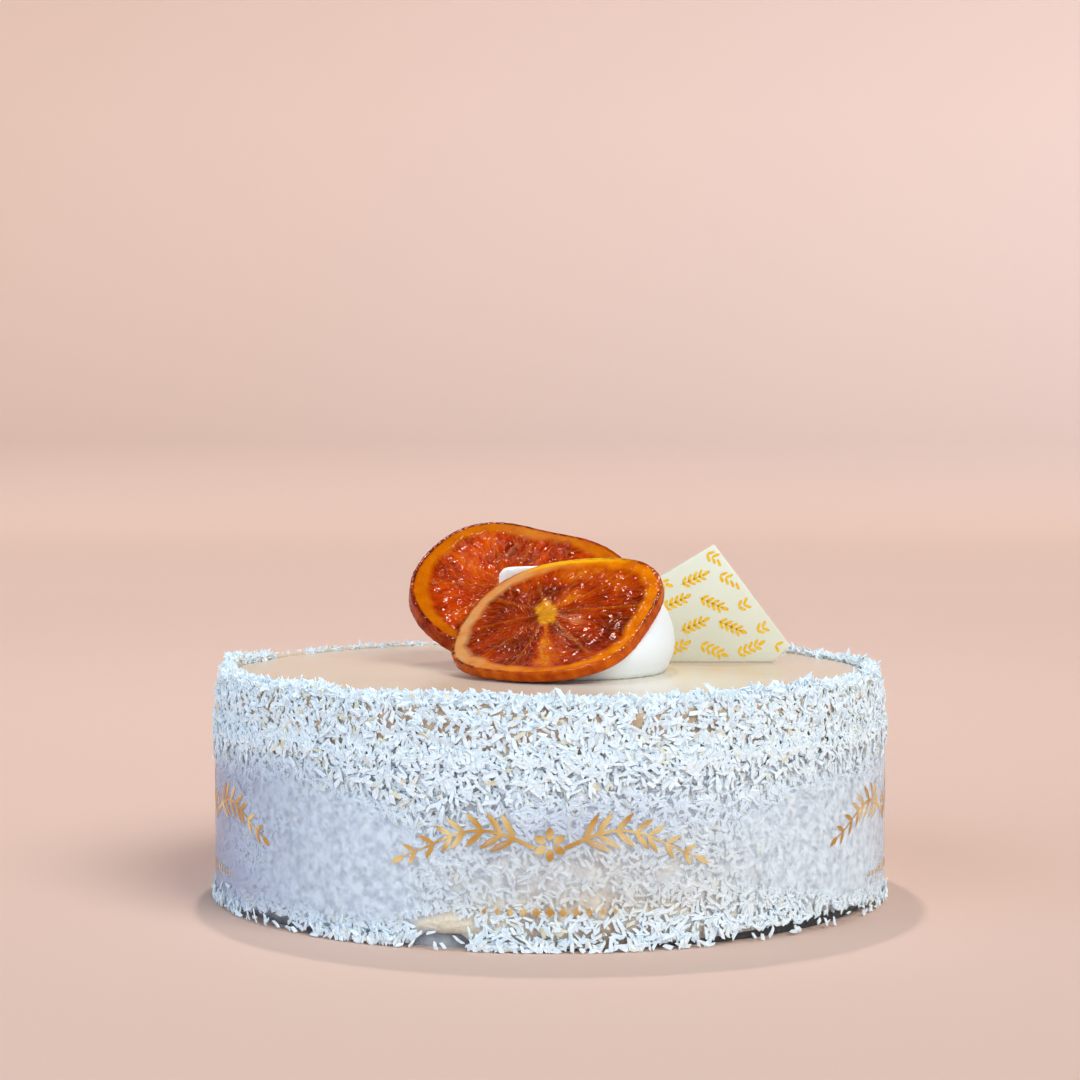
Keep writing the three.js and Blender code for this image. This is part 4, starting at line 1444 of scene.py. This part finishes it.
class CAKE_OT_plaque(bpy.types.Operator):
    """Finishes the white chocolate plaque and its printed pattern"""

    bl_idname = "cake.plaque"
    bl_label = "Plaque"

    # The front face: where it stands, its peak as (x, z), and its sides' length and slopes in degrees
    face_y = 20.2
    peak = (50.9, 103.1)
    side_length = 39.5
    slopes = (-53, 211, 222)
    foot = 67
    softening = 0.25

    # The pattern: its middle as (x, z), the space between columns and rows, and the twigs' lean
    middle = (50, 85)
    pitch, rise, lean = 11.5, 7.2, radians(24)

    def execute(self, context):
        bm = welded(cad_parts["chocolate_plaque"])
        bmesh.ops.dissolve_limit(bm, angle_limit=radians(1), verts=bm.verts[:], edges=bm.edges[:])
        square = [e for e in bm.edges if e.calc_face_angle(0) > radians(60)]
        soft = self.softening * MM
        bmesh.ops.bevel(bm, geom=square, offset=soft, affect="EDGES", segments=2, profile=0.5, material=-1)
        chocolate = new_material("white chocolate", chocolate_look, context.scene.cake_colours)
        finish_piece("plaque_slab", bm, chocolate, "chocolate_plaque", sharp=35)
        self.make_pattern()
        return {"FINISHED"}

    def inside(self, x, z, margin):
        """Whether a point of the front face lies within the plaque by a margin."""
        peak = Vector(self.peak)
        spot = Vector((x, z))
        right, left, low = (radians(s) for s in self.slopes)
        corner = peak + self.side_length * Vector((cos(right), sin(right)))
        other = peak + self.side_length * Vector((cos(left), sin(left)))
        lines = [(peak, right, -1), (peak, left, 1), (corner, low, -1), (other, right, 1)]
        for start, slope, sign in lines:
            normal = Vector((-sin(slope), cos(slope))) * sign
            if (spot - start).dot(normal) < margin:
                return False
        return z > self.foot + margin

    def make_pattern(self):
        """Staggered rows of small golden twigs on the front face, leaning left and right by turns."""
        bm = bmesh.new()
        for row in range(-4, 5):
            for column in range(-5, 6):
                x = self.middle[0] + self.pitch * (column + (0.5 if row % 2 else 0))
                z = self.middle[1] + self.rise * row
                self.motif(bm, x, z, self.lean if column % 2 else -self.lean)
        bmesh.ops.recalc_face_normals(bm, faces=bm.faces)
        ink = new_material("golden cocoa butter", cocoa_butter_ink_look)
        finish_piece("plaque_print", bm, ink, sharp=40)

    def motif(self, bm, x, z, turn):
        """A twig with leaves in pairs along it, from ovals as (place, lean, length, width)."""
        shapes = [((0, 0), 0.0, 8.4, 0.5), ((4.6, 0.1), 0.1, 2.6, 1.2)]
        for across in (-3.2, -1.4, 0.4, 2.2):
            shapes += [((across + 0.8, side * 0.9), side * 0.75, 2.5, 0.95) for side in (1, -1)]
        for place, lean, length, width in shapes:
            dx, dz = rotated(*place, turn)
            if not self.inside(x + dx, z + dz, length / 2 + 0.3):
                continue
            made = bmesh.ops.create_circle(bm, cap_ends=True, segments=12, radius=0.5)
            for vert in made["verts"]:
                along, above = rotated(vert.co.x * length, vert.co.y * width, lean + turn)
                vert.co = Vector((x + dx + along, self.face_y - 0.03, z + dz + above)) * MM


OPERATORS = (
    CAKE_OT_stage,
    CAKE_OT_layers,
    CAKE_OT_side,
    CAKE_OT_coconut,
    CAKE_OT_film,
    CAKE_OT_gold_print,
    CAKE_OT_slices,
    CAKE_OT_cream,
    CAKE_OT_plaque,
)


class CAKE_PT_sidebar(bpy.types.Panel):
    """Lists the cake's sizes, colours and steps"""

    bl_label = "Almond orange cake"
    bl_space_type = "VIEW_3D"
    bl_region_type = "UI"
    bl_category = "Cake"

    def draw(self, context):
        layout = self.layout
        for group in (context.scene.cake_sizes, context.scene.cake_colours):
            for name in group.bl_rna.properties.keys():
                if name not in ("rna_type", "name"):
                    layout.prop(group, name)
        for operator in OPERATORS:
            layout.operator(operator.bl_idname)


CLASSES = (CakeSizes, CakeColours, *OPERATORS, CAKE_PT_sidebar)


def register():
    for cls in CLASSES:
        bpy.utils.register_class(cls)
    bpy.types.Scene.cake_sizes = PointerProperty(type=CakeSizes)
    bpy.types.Scene.cake_colours = PointerProperty(type=CakeColours)


def unregister():
    del bpy.types.Scene.cake_colours
    del bpy.types.Scene.cake_sizes
    for cls in reversed(CLASSES):
        bpy.utils.unregister_class(cls)


def main():
    register()
    for operator in OPERATORS:
        group, name = operator.bl_idname.split(".")
        getattr(getattr(bpy.ops, group), name)()
    bpy.context.view_layer.update()


if __name__ == "__main__":
    main()
